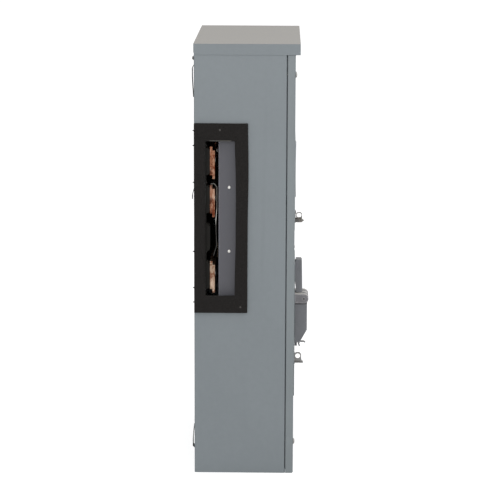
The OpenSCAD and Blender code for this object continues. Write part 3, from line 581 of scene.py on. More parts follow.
@dataclass(frozen=True)
class Enamel(Finish):
    """Baked sheet-steel enamel: satin, faintly dimpled, weathered in streaks, thin at edges; painted
    highlights.
    """

    roughness: float = 0.46
    # share and tint of the lightened edges: wear, and on the barrier a painted highlight
    wear: float = 0.22
    bare: float = 1.35
    dust: float = 0.25
    least: float = 0.25
    streaks: float = 0.3
    streak_shade: float = 0.72
    grime: Colour = (0.43, 0.41, 0.37)
    peel_depth: float = 1.1 * MM
    edge_radius: float = 1.6 * MM
    # share of the painted highlight on bends; only the barrier uses it
    bends: float = 0.0
    gloss: float = 0.35

    def shader(self, tree: Tree) -> Socket:
        """Enamel tone, then streaks, dust, painted bend highlights and lightened edges; dimples in its
        normal.

        Args:
            tree: the material's nodes.

        Returns:
            The shader.
        """
        tone = tree.use(Effects.mottle, Coarse=5.0, Fine=70.0)["Tone"]
        streak = tree.use(Effects.rain_streaks, Lanes=42.0, Amount=self.streaks)["Mask"]
        dust = tree.use(Effects.settled_dust, Amount=self.dust, Patches=14.0, Least=self.least)["Mask"]
        edges = tree.use(Effects.edge_wear, Radius=self.edge_radius, Amount=self.wear, Breakup=240.0)["Mask"]
        colour = self.toned(tree, tone, 0.965, 1.035)
        colour = tree.mix(streak, colour, self.shade(self.streak_shade))
        colour = tree.mix(dust, colour, self.grime)
        # painted highlight on bends, where a bent sheet would catch the light
        lit_bend = tree.use(Effects.bend_wear, Amount=self.bends)["Mask"]
        colour = tree.mix(lit_bend, colour, self.shade(self.bare))
        colour = tree.mix(edges, colour, self.shade(self.bare))
        rough = tree.spread(tone, 0, 1, self.roughness - 0.04, self.roughness + 0.04)
        rough = tree.maths("ADD", rough, dust)
        peel = tree.use(Effects.orange_peel, Dimples=430.0, Sheet_wave=8.0)["Height"]
        normal = tree.bump(0.5, self.peel_depth, peel, self.edge_radius / 2)
        return tree.principled(colour, rough, Normal=normal, Specular_IOR_Level=self.gloss)


@dataclass(frozen=True)
class Plating(Finish):
    """Plated or uncoated metal: mottled, faintly brushed, edges lightened by wear and by painted highlight.

    The stain lies in patches, sharper the closer the two patch limits are; a paler film in runs down
    the height is also a painted highlight on the bus bars.
    """

    roughness: float = 0.36
    stain: Colour = (0.3, 0.27, 0.22)
    stained: float = 0.35
    patch: tuple[float, float] = (0.45, 0.95)
    # share of the pale runs: a paler film, and on the bus bars a painted highlight
    bloom: float = 0.0
    film: Colour = (0.5, 0.38, 0.3)
    grain: str = "X"
    grain_depth: float = 0.2 * MM
    edge_radius: float = 0.8 * MM
    # share and tint of the lightened edges: wear, and on the bus bars a painted highlight
    rubbed: float = 0.5
    bare: float = 1.3

    def shader(self, tree: Tree) -> Socket:
        """Metal tone by grain and mottle, patchy stains, pale runs and bright edges, partly painted
        highlight.

        Args:
            tree: the material's nodes.

        Returns:
            The shader.
        """
        tone = tree.use(Effects.mottle, Coarse=45.0, Fine=260.0)["Tone"]
        grain = tree.use(Effects.rolled_grain, self.grain, Lines=1400.0)["Tone"]
        worn_and_lit = tree.use(Effects.edge_wear, Radius=self.edge_radius, Amount=self.rubbed, Breakup=500.0)["Mask"]
        colour = self.toned(tree, grain, 0.88, 1.08)
        stains = tree.times(tree.spread(tone, *self.patch), self.stained)
        colour = tree.mix(stains, colour, self.stain)
        # pale runs down the height: a paler film, and on the bus bars a painted highlight in place of their
        # reflections
        runs = tree.spread(tree.noise(tree.place((1, 1, 0.3)), 95.0, 2.0, 0.5), 0.5, 0.68)
        colour = tree.mix(tree.times(runs, self.bloom), colour, self.film)
        # lightened edges: wear, and on the bus bars a painted highlight
        colour = tree.mix(worn_and_lit, colour, self.shade(self.bare))
        rough = tree.spread(tone, 0, 1, self.roughness - 0.07, self.roughness + 0.12)
        normal = tree.bump(0.25, self.grain_depth, grain)
        return tree.principled(colour, rough, Metallic=1.0, Normal=normal)


@dataclass(frozen=True)
class Foam(Finish):
    """Black cellular foam, dull and open at cut faces; a painted highlight lies over an opening's upper edge.

    The painted highlight is a paler line from the edge's height (Z) up over its reach, between two depths
    (Y).
    """

    grime: Colour = linear(96, 93, 88)
    # the painted highlight line over the opening's upper edge: its paler colour, height, depths, reach and
    # fade
    rub: Colour = linear(88, 86, 83)
    rub_height: float = 0.0
    rub_depths: tuple[float, float] = (0.0, 0.0)
    rub_reach: float = 2.4 * MM
    rub_fade: float = 3 * MM
    cell_depth: float = 1.2 * MM

    def shader(self, tree: Tree) -> Socket:
        """Pores darken as painted shade and dent the normal; dust and a painted highlight line lie over them.

        Args:
            tree: the material's nodes.

        Returns:
            The shader.
        """
        cells = tree.use(Effects.open_cells, Cells=700.0)
        dust = tree.use(Effects.settled_dust, Amount=0.35, Patches=60.0)["Mask"]
        # painted shade: pores darkened where their hollows would lie in shade
        colour = tree.mix(cells["Pore"], self.colour, self.shade(0.45))
        colour = tree.mix(dust, colour, self.grime)
        # painted highlight: a paler line just over the opening's upper edge, faded out towards front and rear
        place = tree.axes(tree.place())
        over = tree.gap(place["Z"], self.rub_height + self.rub_reach / 2)
        line = tree.spread(over, 0.3 * self.rub_reach, 0.7 * self.rub_reach, 1.0, 0.0)
        for depth, limits in zip(self.rub_depths, ((0.0, 1.0), (1.0, 0.0))):
            inside = tree.spread(place["Y"], depth - self.rub_fade, depth + self.rub_fade, *limits)
            line = tree.times(line, inside)
        colour = tree.mix(line, colour, self.rub)
        normal = tree.bump(0.9, self.cell_depth, cells["Height"])
        return tree.principled(colour, 0.93, Normal=normal, Specular_IOR_Level=0.12)


@dataclass(frozen=True)
class Moulding(Finish):
    """Moulded plastic: fine spark texture, a little cloudy, edges worn lighter; a painted highlight on the
    hood.
    """

    roughness: float = 0.6
    texture_depth: float = 0.2 * MM
    edge_radius: float = 0.6 * MM
    # dust, its colour and the lightened rim; on the hood they also paint a highlight
    dust: float = 0.2
    least: float = 0.25
    grime: Colour = (0.305, 0.292, 0.262)
    gloss: float = 0.3
    rim: float = 1.2 * MM
    rubbed: float = 0.25
    bare: float = 1.4

    def shader(self, tree: Tree) -> Socket:
        """Cloudy tone, settled dust, lighter edges, and a fine pebbled normal.

        On the hood the dust and the lighter edges are also a painted highlight.

        Args:
            tree: the material's nodes.

        Returns:
            The shader.
        """
        tone = tree.use(Effects.mottle, Coarse=25.0, Fine=300.0)["Tone"]
        dust = tree.use(Effects.settled_dust, Amount=self.dust, Patches=45.0, Least=self.least)["Mask"]
        worn_and_lit = tree.use(Effects.edge_wear, Radius=self.rim, Amount=self.rubbed, Breakup=300.0)["Mask"]
        colour = self.toned(tree, tone, 0.93, 1.07)
        colour = tree.mix(worn_and_lit, colour, self.shade(self.bare))
        colour = tree.mix(dust, colour, self.grime)
        pebble = tree.noise(tree.place(), 1500.0, 2.0, 0.5)
        normal = tree.bump(0.4, self.texture_depth, pebble, self.edge_radius)
        rough = tree.spread(tone, 0, 1, self.roughness - 0.05, self.roughness + 0.08)
        return tree.principled(colour, rough, Normal=normal, Specular_IOR_Level=self.gloss)


@dataclass(frozen=True)
class Film(Finish):
    """Thin dark insulating film; its cut edge has a painted highlight in one band, painted shade elsewhere.
    """

    # the cut edge's painted highlight colour, then its painted shade colour; further down, where the lit band
    # and the weaker light above it lie
    edge: Colour = (0.9, 0.86, 0.8)
    soiled: Colour = (0.1, 0.095, 0.088)
    half_width: float = 250 * MM
    rubbed_height: float = 705 * MM
    rubbed_reach: float = 28 * MM
    cleaner_over: float = 30 * MM
    cleaner: float = 0.3

    def shader(self, tree: Tree) -> Socket:
        """Cloudy dark tone; the cut ends get a painted highlight near one height, painted shade elsewhere.

        Args:
            tree: the material's nodes.

        Returns:
            The shader.
        """
        tone = tree.use(Effects.mottle, Coarse=20.0, Fine=200.0)["Tone"]
        colour = self.toned(tree, tone, 0.92, 1.05)
        place = tree.axes(tree.place())
        from_middle = tree.maths("ABSOLUTE", place["X"])
        cut = tree.spread(from_middle, self.half_width - 0.6 * MM, self.half_width - 0.2 * MM)
        # painted highlight on the cut edge in a band about one height, weaker above it; painted shade below
        away = tree.gap(place["Z"], self.rubbed_height)
        rubbed = tree.spread(away, 0.4 * self.rubbed_reach, self.rubbed_reach, 1.0, 0.0)
        top = self.rubbed_height + self.cleaner_over
        above = tree.spread(place["Z"], self.rubbed_height, top, 0.0, self.cleaner)
        rim = tree.mix(tree.maths("MAXIMUM", rubbed, above), self.soiled, self.edge)
        return tree.principled(tree.mix(cut, colour, rim), 0.5, Specular_IOR_Level=0.2)


BOX_ENAMEL = Enamel("box_enamel", linear(131, 138, 142))
COVER_ENAMEL = Enamel("cover_enamel", linear(132, 139, 142))
CAP_ENAMEL = Enamel(
    "cap_enamel", linear(129, 136, 140), dust=1.0, least=0.85, streaks=0.2, grime=(0.366, 0.348, 0.325)
)
# painted shade: near-black enamel on the wall tabs stands in for the shade that they sit in
SHADED_TAB_ENAMEL = Enamel("tab_enamel", linear(54, 54, 54), streaks=0.0)
# painted highlight: the barrier's strongly lightened bends and wide edges stand in for its rear bend catching
# the light
BARRIER_ENAMEL = Enamel(
    "barrier_enamel", linear(89, 89, 95), wear=0.9, bare=2.6, streaks=0.0, dust=0.1,
    edge_radius=4.5 * MM, bends=0.9,
)
ZINC = Plating("zinc_plate", linear(205, 204, 200), roughness=0.34, stain=linear(150, 145, 132))
DARK_ZINC = Plating("dark_zinc", linear(74, 72, 70), roughness=0.5, stain=linear(38, 36, 34), stained=0.7)
DULL_ZINC = Plating("dull_zinc", linear(150, 149, 147), roughness=0.5, stain=linear(92, 90, 88), stained=0.6)
LATCH_STEEL = Plating("aged_latch_steel", linear(112, 109, 105), roughness=0.45, stain=linear(66, 62, 58))
LATCH_SEAT = Plating("latch_seat_zinc", linear(104, 103, 102), roughness=0.5, stain=linear(60, 58, 56))
HASP_STEEL = Plating("aged_hasp_steel", linear(150, 149, 148), roughness=0.5, stain=linear(96, 93, 90))
COPPER = Plating(
    "dark_bar_copper", linear(112, 74, 56), roughness=0.42, stain=linear(62, 32, 22), stained=0.9,
    patch=(0.5, 0.75), bloom=0.18,
)
JOINT_COPPER = Plating(
    "joint_copper", linear(122, 90, 72), roughness=0.4, stain=linear(88, 42, 26), stained=0.95,
    patch=(0.48, 0.7), bloom=0.35,
)
TIN = Plating("tin_plate", linear(194, 172, 150), roughness=0.44, stain=linear(136, 92, 64), stained=0.8)
TARNISHED_TIN = Plating(
    "tarnished_bar_tin", linear(138, 118, 101), roughness=0.44, stain=linear(100, 58, 40), stained=0.9,
    patch=(0.5, 0.72), bloom=0.5,
)
FOAM = Foam("gasket_foam", linear(43, 41, 40))
BLACK_MOULDING = Moulding("black_socket_moulding", linear(31, 30, 28), gloss=0.1)
LID_PLASTIC = Moulding("weathered_lid_plastic", linear(131, 132, 136), roughness=0.6, dust=0.6)
# painted highlight: pale dust over nearly all the hood's top and a wide lightened rim stand in for the light
# on its top and rounded edge, besides real dust
HOOD_PLASTIC_LIT_TOP = Moulding(
    "faded_hood_plastic", linear(135, 133, 136), roughness=0.6, dust=1.0, least=0.9,
    grime=(0.56, 0.54, 0.51), rim=9 * MM, rubbed=1.0, bare=2.1,
)
FILM = Film("insulating_film", linear(46, 44, 42))


# ---------------------------------------- fasteners


class Drive(Enum):
    """The recess in a screw's head."""

    NONE = "none"
    CROSS = "cross"
    SLOT = "slot"
    HEX_SOCKET = "hex socket"

    def depth(self, across: Array, up: Array, reach: float) -> Array:
        """Share of the recess's full depth at each place on the head.

        Args:
            across: first coordinate on the head's face.
            up: second coordinate on the head's face.
            reach: how far the recess runs from the middle.

        Returns:
            1 in the recess and 0 outside it, with soft sides.
        """
        wide, long = reach * 0.27, reach
        x, z = np.abs(across), np.abs(up)
        first = smooth_step(wide * 1.25, wide * 0.8, x) * smooth_step(long, long * 0.86, z)
        second = smooth_step(wide * 1.25, wide * 0.8, z) * smooth_step(long, long * 0.86, x)
        if self is Drive.CROSS:
            return np.maximum(first, second)
        if self is Drive.SLOT:
            return smooth_step(wide * 1.1, wide * 0.8, x)
        if self is Drive.HEX_SOCKET:
            angle = np.arctan2(up, across)
            flat = np.hypot(across, up) * hexagon_share(angle)
            return smooth_step(reach * 0.9, reach * 0.82, flat)
        return np.zeros_like(across)


def hexagon_share(angle: Array) -> Array:
    """The cosine of the angle from the middle of a hexagon's nearest flat."""
    return np.cos((angle + math.pi / 6) % (math.pi / 3) - math.pi / 6)


@dataclass(frozen=True)
class Fastener:
    """A screw, bolt or rivet drawn round +Z, its head's underside at height 0.

    The dome is a share of the head's height, as the recess's depth is; the washer's and the
    recess's reach are shares of the head's radius, and the thread's depth of the shank's.
    """

    head_radius: float
    head_height: float
    shank_radius: float
    dome: float = 0.5
    hexagon: bool = False
    drive: Drive = Drive.NONE
    washer: float = 0.0
    washer_reach: float = 1.18
    pitch: float = 0.0
    point: float = 0.0
    facing: Facing = Facing.FRONT
    segments: int = 48
    crown_rows: int = 16
    rows_per_turn: int = 6
    thread_depth: float = 0.16
    recess_reach: float = 0.62
    recess_depth: float = 0.45

    def flange(self) -> float:
        """Radius of the washer under the head, or of the head where it has none."""
        return self.head_radius * (self.washer_reach if self.washer else 1.0)

    def shell(self, seat: Sequence[float], facing: Facing, shank: float) -> Shell:
        """One closed surface for the whole fastener.

        The profile runs from the shank's tip to the crown; round the turn, a thread moves the
        radius by a triangle wave of height minus angle, a hexagon divides it by the distance to
        its flats, and the recess lowers the crown.

        Args:
            seat: where the head's underside meets the sheet.
            facing: the way that the head points.
            shank: length of the shank below the head.

        Returns:
            Places and quads.
        """
        turns = shank / self.pitch if self.pitch else 0
        shank_rows = max(2, int(turns * self.rows_per_turn))
        tip = self.point or self.shank_radius * 0.3
        blunt = 0.12 if self.point else 0.75
        z_shank = np.linspace(-shank + tip, 0, shank_rows)
        crown = np.linspace(1, 0, self.crown_rows)
        edge = self.head_height * (1 - self.dome)
        base = self.washer or self.head_height * 0.02
        rim_radius, flange = self.head_radius, self.flange()
        radii = np.concatenate([
            [0, self.shank_radius * blunt], np.full(shank_rows, self.shank_radius),
            [flange * 0.97, flange, flange, flange * 0.985], [rim_radius, rim_radius, rim_radius * 0.985],
            rim_radius * 0.96 * crown,
        ])
        heights = np.concatenate([
            [-shank, -shank], z_shank,
            [0, base * 0.2, base * 0.8, base], [base, base + (edge - base) * 0.85, edge],
            edge + (self.head_height - edge) * np.sqrt(np.clip(1 - (0.96 * crown) ** 2, 0, 1)),
        ])
        points = lathe(radii, heights, self.segments)
        angle = np.arctan2(points[..., 1], points[..., 0])
        if self.pitch:
            rows = slice(2, 2 + shank_rows)
            wave = np.abs(((points[rows, :, 2] / self.pitch - angle[rows] / FULL_TURN) % 1) * 2 - 1)
            points[rows, :, :2] *= (1 - self.thread_depth * wave)[..., None]
        head = slice(2 + shank_rows + 4, None)
        if self.hexagon:
            flats = np.minimum(rim_radius * math.cos(math.pi / 6) / hexagon_share(angle[head]), rim_radius)
            radius = np.hypot(points[head, :, 0], points[head, :, 1])
            share = flats / rim_radius
            inside = 1 - (1 - share) * radius / rim_radius
            points[head, :, :2] *= np.where(radius > rim_radius * 0.9, share, inside)[..., None]
        reach = rim_radius * self.recess_reach
        cut = self.drive.depth(points[head, :, 0], points[head, :, 1], reach)
        cut *= self.head_height * self.recess_depth
        points[head, :, 2] -= cut * (points[head, :, 2] > edge * 0.99)
        places, quads = grid_shell(points, close_columns=True)
        return places @ facing.turn().T + seat, quads


@dataclass(frozen=True)
class FastenerSet:
    """Fasteners that stand for the solids of one CAD node, as one piece.

    Each solid gets the kind whose width is nearest to its own, which is the middle one of its
    three sizes.
    """

    node: str
    finish: Finish
    kinds: tuple[Fastener, ...]
    name: str = ""

    def piece(self) -> Piece:
        """Makes them all, with each head's crown where the solid ends.

        Returns:
            The piece; without a name of its own it is named for the node.
        """
        shells = []
        for low, high in solid_boxes(self.node):
            middle, size = (low + high) / 2, high - low
            kind = min(self.kinds, key=lambda fastener: abs(2 * fastener.flange() - np.median(size)))
            facing = kind.facing.at(middle[0])
            axis = facing.axis()
            along = int(np.argmax(np.abs(axis)))
            seat = middle.copy()
            seat[along] = (high if axis[along] > 0 else low)[along] - axis[along] * kind.head_height
            shells.append(kind.shell(seat, facing, size[along] - kind.head_height))
        return make_piece(self.name or f"{self.node[:-1]}_set", shells, self.finish.material())


# ---------------------------------------- sub-assemblies


Dressing = tuple[tuple[Finish | str, ...], ...]
Fasteners = tuple[FastenerSet, ...]


@dataclass
class Assembly:
    """What every sub-assembly has: its body, the finishes of its CAD nodes, and its fasteners.

    Each row of the dressing holds a finish and the CAD nodes that it goes on.
    """

    body: str = "enclosure"
    dressing: Dressing = ()
    fasteners: Fasteners = ()

    def build(self) -> list[Piece]:
        """Dresses the CAD nodes, and makes the pieces that stand for the others.

        Returns:
            The new pieces.
        """
        for finish, *nodes in self.dressing:
            finish.dress(*nodes)
        return self.shaped() + [self.stand_in(each.piece(), each.node) for each in self.fasteners]

    def shaped(self) -> list[Piece]:
        """The new pieces apart from the fasteners."""
        return []

    def stand_in(self, piece: Piece, node: str, slot: str = "zinc_steel") -> Piece:
        """Rides a piece on the body in the place of a CAD node.

        Args:
            piece: the new piece.
            node: the CAD node.
            slot: the node's slot; not used.

        Returns:
            The piece.
        """
        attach(piece, self.body)
        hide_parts(node)
        return piece


@dataclass
class SteelBox(Assembly):
    """The wrap, its end pans, closing plate and lanced wall tabs, and the screws that join them."""

    rear_screw: Fastener = Fastener(
        4.4 * MM, 4.8 * MM, 2.1 * MM, dome=0.35, drive=Drive.CROSS, washer=1.4 * MM, washer_reach=1.45,
        pitch=1.4 * MM, facing=Facing.BACK,
    )
    side_screw: Fastener = Fastener(
        4.4 * MM, 0.9 * MM, 2.1 * MM, dome=0.8, drive=Drive.CROSS, pitch=1.4 * MM, facing=Facing.RIGHT
    )
    dressing: Dressing = (
        (BOX_ENAMEL, "body_wrap", "top_panel", "bottom_panel", "closing_plate"),
        (SHADED_TAB_ENAMEL, "wall_hangers", "mid_tabs", "foot_tabs"),
        (CAP_ENAMEL, "rain_cap"),
    )
    fasteners: Fasteners = (
        FastenerSet("shell_screws", DARK_ZINC, (rear_screw, side_screw)),
    )


@dataclass
class SideGasket(Assembly):
    """The foam frame round the left bus opening and the rivets that pin it."""

    rivet: Fastener = Fastener(2.6 * MM, 0.8 * MM, 2.2 * MM, dome=0.8, facing=Facing.LEFT)
    fasteners: Fasteners = (
        FastenerSet("gasket_rivets", DARK_ZINC, (rivet,), "gasket_rivet_heads"),
    )
    edge_wave: float = 1.0 * MM
    edge_waves: tuple[int, ...] = (3, 7, 16, 29)
    inner_weights: tuple[float, ...] = (0.5, 0.9, 1.1, 0.8)
    outer_weights: tuple[float, ...] = (0.9, -0.7, 1.2, -0.9)
    face_wave: float = 0.35 * MM
    face_waves: int = 9
    face_wavelength: float = 50 * MM
    face_seed: int = 5
    round_over: float = 1.2 * MM
    outer_corner: float = 1.5 * MM
    inner_corner: float = 2 * MM
    margin: float = 1 * MM
    joint_room: float = 25.5 * MM
    bulge: float = 2.0 * MM
    bulge_height: float = 0.83
    bulge_reach: float = 0.1
    creep: float = 2.6 * MM
    creep_ends: tuple[tuple[float, float], ...] = ((0.45, 1.05), (-0.2, -0.95))
    groove: float = 1.3 * MM
    lip: float = 3.2 * MM
    foot_trim: float = 2.2 * MM
    sag: float = 4.0 * MM
    sag_reach: float = 10 * MM
    # how far in from front and rear the foam's painted highlight line stops
    rub_inset: float = 12 * MM
    per_side: int = 90

    def shaped(self) -> list[Piece]:
        """Makes the foam ring, with its painted highlight line between its front and rear.

        Returns:
            The ring.
        """
        low, high = self.hole()
        depths = (low[0] + self.rub_inset, high[0] - self.rub_inset)
        # the foam finish, with its painted highlight line set over the opening's upper edge
        rubbed = replace(FOAM, rub_height=high[1], rub_depths=depths)
        foam = make_piece("gasket_foam_ring", [self.ring()], rubbed.material(), sharp=60)
        return [self.stand_in(foam, "side_gasket", "foam")]

    def ring(self) -> Shell:
        """A closed ring: round the opening in one direction, round its section in the other.

        The section goes out along the wall face, over a rounded outer edge, back along the outer
        face and over the inner edge; cut edges and faces carry a slow unevenness, and the front
        edge swells forward as exp(-(z - height)^2 / reach^2). Inside the opening the foam creeps
        over the front edge towards both ends, and sags as (1 - distance / reach)^2 at the rear. A
        groove, exp(-((distance - lip) / (lip / 2))^2) deep, leaves the upper edge standing as a lip.

        Returns:
            Places and quads.
        """
        low, high = (np.array(c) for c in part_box("side_gasket"))
        low[2] += self.foot_trim
        hole_low, hole_high = self.hole()
        outer = loop_outline((low[1], low[2]), (high[1], high[2]), self.outer_corner, self.per_side)
        inner = loop_outline(hole_low, hole_high, self.inner_corner, self.per_side)
        middle = (hole_low + hole_high) / 2
        upward = 2 * (inner[:, 1] - middle[1]) / (hole_high[1] - hole_low[1])
        ends = sum(smooth_step(*limits, upward) for limits in self.creep_ends)
        at_rear = smooth_step(middle[0], hole_high[0], inner[:, 0])
        inner[:, 0] += self.creep * ends * (1 - at_rear)
        inner[:, 1] += self.foot_trim * smooth_step(-0.9, -1.0, upward)
        slack = self.sag * smooth_step(0.99, 1.0, at_rear) * smooth_step(1.0, 0.7, np.abs(upward))
        around = np.linspace(0, 1, len(outer), endpoint=False)
        edge = self.round_over
        thick = high[0] - low[0]
        width = np.linalg.norm(outer - inner, axis=1)
        corner = np.linspace(0, QUARTER_TURN, 5)
        face = np.linspace(0, 1, 14)[1:-1]
        share_in = (edge * (1 - np.sin(corner)))[None] / width[:, None]
        share_out = 1 - share_in[:, ::-1]
        across = np.concatenate([
            np.zeros((len(outer), 1)), share_in, np.broadcast_to(face, (len(outer), len(face))),
            share_out, np.ones((len(outer), 1)),
        ], axis=1)
        rise = np.concatenate([
            [0], thick - edge + edge * np.sin(corner), np.full(len(face), thick),
            thick - edge + edge * np.cos(corner), [0],
        ])
        wander = np.stack([np.sin(FULL_TURN * k * around + k) / k for k in self.edge_waves], -1)
        shift_in = self.edge_wave * (wander @ np.array(self.inner_weights))
        shift_out = self.edge_wave * (wander @ np.array(self.outer_weights))
        outward = (outer - inner) / width[:, None]
        first = inner + outward * shift_in[:, None]
        last = outer + outward * np.minimum(shift_out, 0.0)[:, None]
        at_front = smooth_step(low[1] + edge, low[1], outer[:, 0])
        swell = np.exp(-((outer[:, 1] - self.bulge_height) / self.bulge_reach) ** 2)
        last[:, 0] -= self.bulge * at_front * swell
        flat = first[:, None] + (last - first)[:, None] * across[..., None]
        waves = ripple(self.face_seed, self.face_waves, *np.moveaxis(flat / self.face_wavelength, -1, 0))
        raised = rise[None] > thick * 0.5
        distance = across * width[:, None]
        from_hole = np.clip(1 - distance / self.sag_reach, 0, 1)
        furrow = np.exp(-(((distance - self.lip) / (self.lip / 2)) ** 2))
        furrow *= smooth_step(0.97, 1.0, upward)[:, None]
        hollow = slack[:, None] * from_hole**2 + self.groove * furrow
        depth = rise[None] - raised * (self.face_wave * (1 + waves) * 0.5 + hollow)
        points = np.stack([high[0] - depth, flat[..., 0], flat[..., 1]], -1)
        return grid_shell(points, close_rows=True, close_columns=True)

    def hole(self) -> tuple[Array, Array]:
        """Finds the opening from the box stated in the record.

        Returns:
            Its lowest and highest corner (y, z).
        """
        opening = next(o for o in frame["record"]["physics"]["openings"] if o["name"] == "left_bus_opening")
        low, high = (np.array(corner) for corner in opening["box_m"])
        first = np.array([low[1] - self.margin / 2, low[2] - self.margin])
        return first, np.array([high[1] + self.joint_room, high[2] + self.margin])


def loop_outline(low: Sequence[float], high: Sequence[float], radius: float, per_side: int) -> Array:
    """Points round a rectangle with round corners, evenly spread on each side.

    Args:
        low: lowest corner.
        high: highest corner.
        radius: of the corners.
        per_side: points on each side, the same for each so that two loops can be joined.

    Returns:
        Array of shape (4 * (per_side + ARC_POINTS), 2), anticlockwise.
    """
    low, high = np.asarray(low, float), np.asarray(high, float)
    corners = [(high[0], low[1]), (high[0], high[1]), (low[0], high[1]), (low[0], low[1])]
    centres = [np.clip(c, low + radius, high - radius) for c in corners]
    pieces = []
    for k, centre in enumerate(centres):
        quarter = k * QUARTER_TURN
        turn = np.linspace(-QUARTER_TURN, 0, ARC_POINTS) + quarter
        arc = centre + radius * np.stack([np.cos(turn), np.sin(turn)], -1)
        following = centres[(k + 1) % 4] + radius * np.array([math.cos(quarter), math.sin(quarter)])
        step = np.linspace(0, 1, per_side + 2)[1:-1, None]
        pieces += [arc, arc[-1] + (following - arc[-1]) * step]
    return np.concatenate(pieces)


@dataclass
class BusStack(Assembly):
    """Bus plates on their moulded supports, with carriage bolts, joint plates and the film before them."""

    carriage_bolt: Fastener = Fastener(9 * MM, 2.2 * MM, 4.9 * MM, dome=0.9, pitch=1.5 * MM)
    tap_bolt: Fastener = Fastener(8.5 * MM, 4 * MM, 4.9 * MM, dome=0.15, hexagon=True, pitch=1.5 * MM)
    support_screw: Fastener = Fastener(
        4 * MM, 2.2 * MM, 2.1 * MM, dome=0.6, drive=Drive.CROSS, pitch=1.4 * MM, point=3.8 * MM, segments=24
    )
    dressing: Dressing = (
        (COPPER, "line_bus_a", "line_bus_b", "riser_a", "riser_b"),
        (JOINT_COPPER, "joint_plates_left", "joint_plates_right"),
        (TARNISHED_TIN, "neutral_bus", "neutral_joints"),
        (TIN, "neutral_strap"),
        (BLACK_MOULDING, "bus_support_left", "bus_support_right"),
        (FILM, "barrier_film"),
    )
    fasteners: Fasteners = (
        FastenerSet("bus_bolts", ZINC, (carriage_bolt, tap_bolt)),
        FastenerSet("support_screws", DARK_ZINC, (support_screw,)),
    )


@dataclass
class InteriorPan(Assembly):
    """The painted pan, the side barriers and the rails that carry them."""

    barrier_screw: Fastener = Fastener(
        4.2 * MM, 2.2 * MM, 2.2 * MM, dome=0.55, drive=Drive.CROSS, pitch=0.9 * MM, facing=Facing.LEFT
    )
    dressing: Dressing = (
        (BARRIER_ENAMEL, "barrier_left", "barrier_right", "interior_pan"),
        (ZINC, "pan_rail_top", "pan_rail_bottom"),
    )
    fasteners: Fasteners = (FastenerSet("barrier_screws", ZINC, (barrier_screw,)),)


@dataclass
class MeterSocket(Assembly):
    """The moulded base, its four jaws and the screws that hold them."""

    base_screw: Fastener = Fastener(5 * MM, 3 * MM, 2.6 * MM, dome=0.5, drive=Drive.SLOT)
    jaw_screw: Fastener = Fastener(4.4 * MM, 2.4 * MM, 2.4 * MM, dome=0.4, drive=Drive.CROSS)
    dressing: Dressing = (
        (BLACK_MOULDING, "socket_base"),
        (TIN, "line_jaw_a", "line_jaw_b", "load_jaw_a", "load_jaw_b"),
    )
    fasteners: Fasteners = (
        FastenerSet("base_screws", ZINC, (base_screw,)),
        FastenerSet("jaw_screws", ZINC, (jaw_screw,)),
    )


@dataclass
class MainBreaker(Assembly):
    """The breaker's case, its handle, straps and box lugs, and the neutral and ground beside it."""

    set_screw: Fastener = Fastener(5 * MM, 2 * MM, 5 * MM, dome=0.1, drive=Drive.HEX_SOCKET, pitch=1.4 * MM)
    terminal_screw: Fastener = Fastener(6.5 * MM, 4 * MM, 3.2 * MM, dome=0.15, hexagon=True)
    dressing: Dressing = (
        (BLACK_MOULDING, "main_breaker", "breaker_toggle"),
        (COPPER, "load_strap_a", "load_strap_b"),
        (TIN, "load_lug_a", "load_lug_b", "neutral_lug", "ground_bar"),
    )
    fasteners: Fasteners = (FastenerSet("lug_screws", ZINC, (set_screw, terminal_screw)),)


@dataclass
class FrontCover(Assembly):
    """The front cover pan with its domed screws and small rivets."""

    body: str = "front_cover"
    domed_screw: Fastener = Fastener(
        7.4 * MM, 4.2 * MM, 2.8 * MM, dome=0.66, drive=Drive.SLOT, washer=1.4 * MM, washer_reach=1.16
    )
    rivet: Fastener = Fastener(3.6 * MM, 1.2 * MM, 1.95 * MM, dome=0.8)
    dressing: Dressing = ((COVER_ENAMEL, "front_cover"),)
    fasteners: Fasteners = (FastenerSet("cover_screws", DULL_ZINC, (domed_screw, rivet)),)


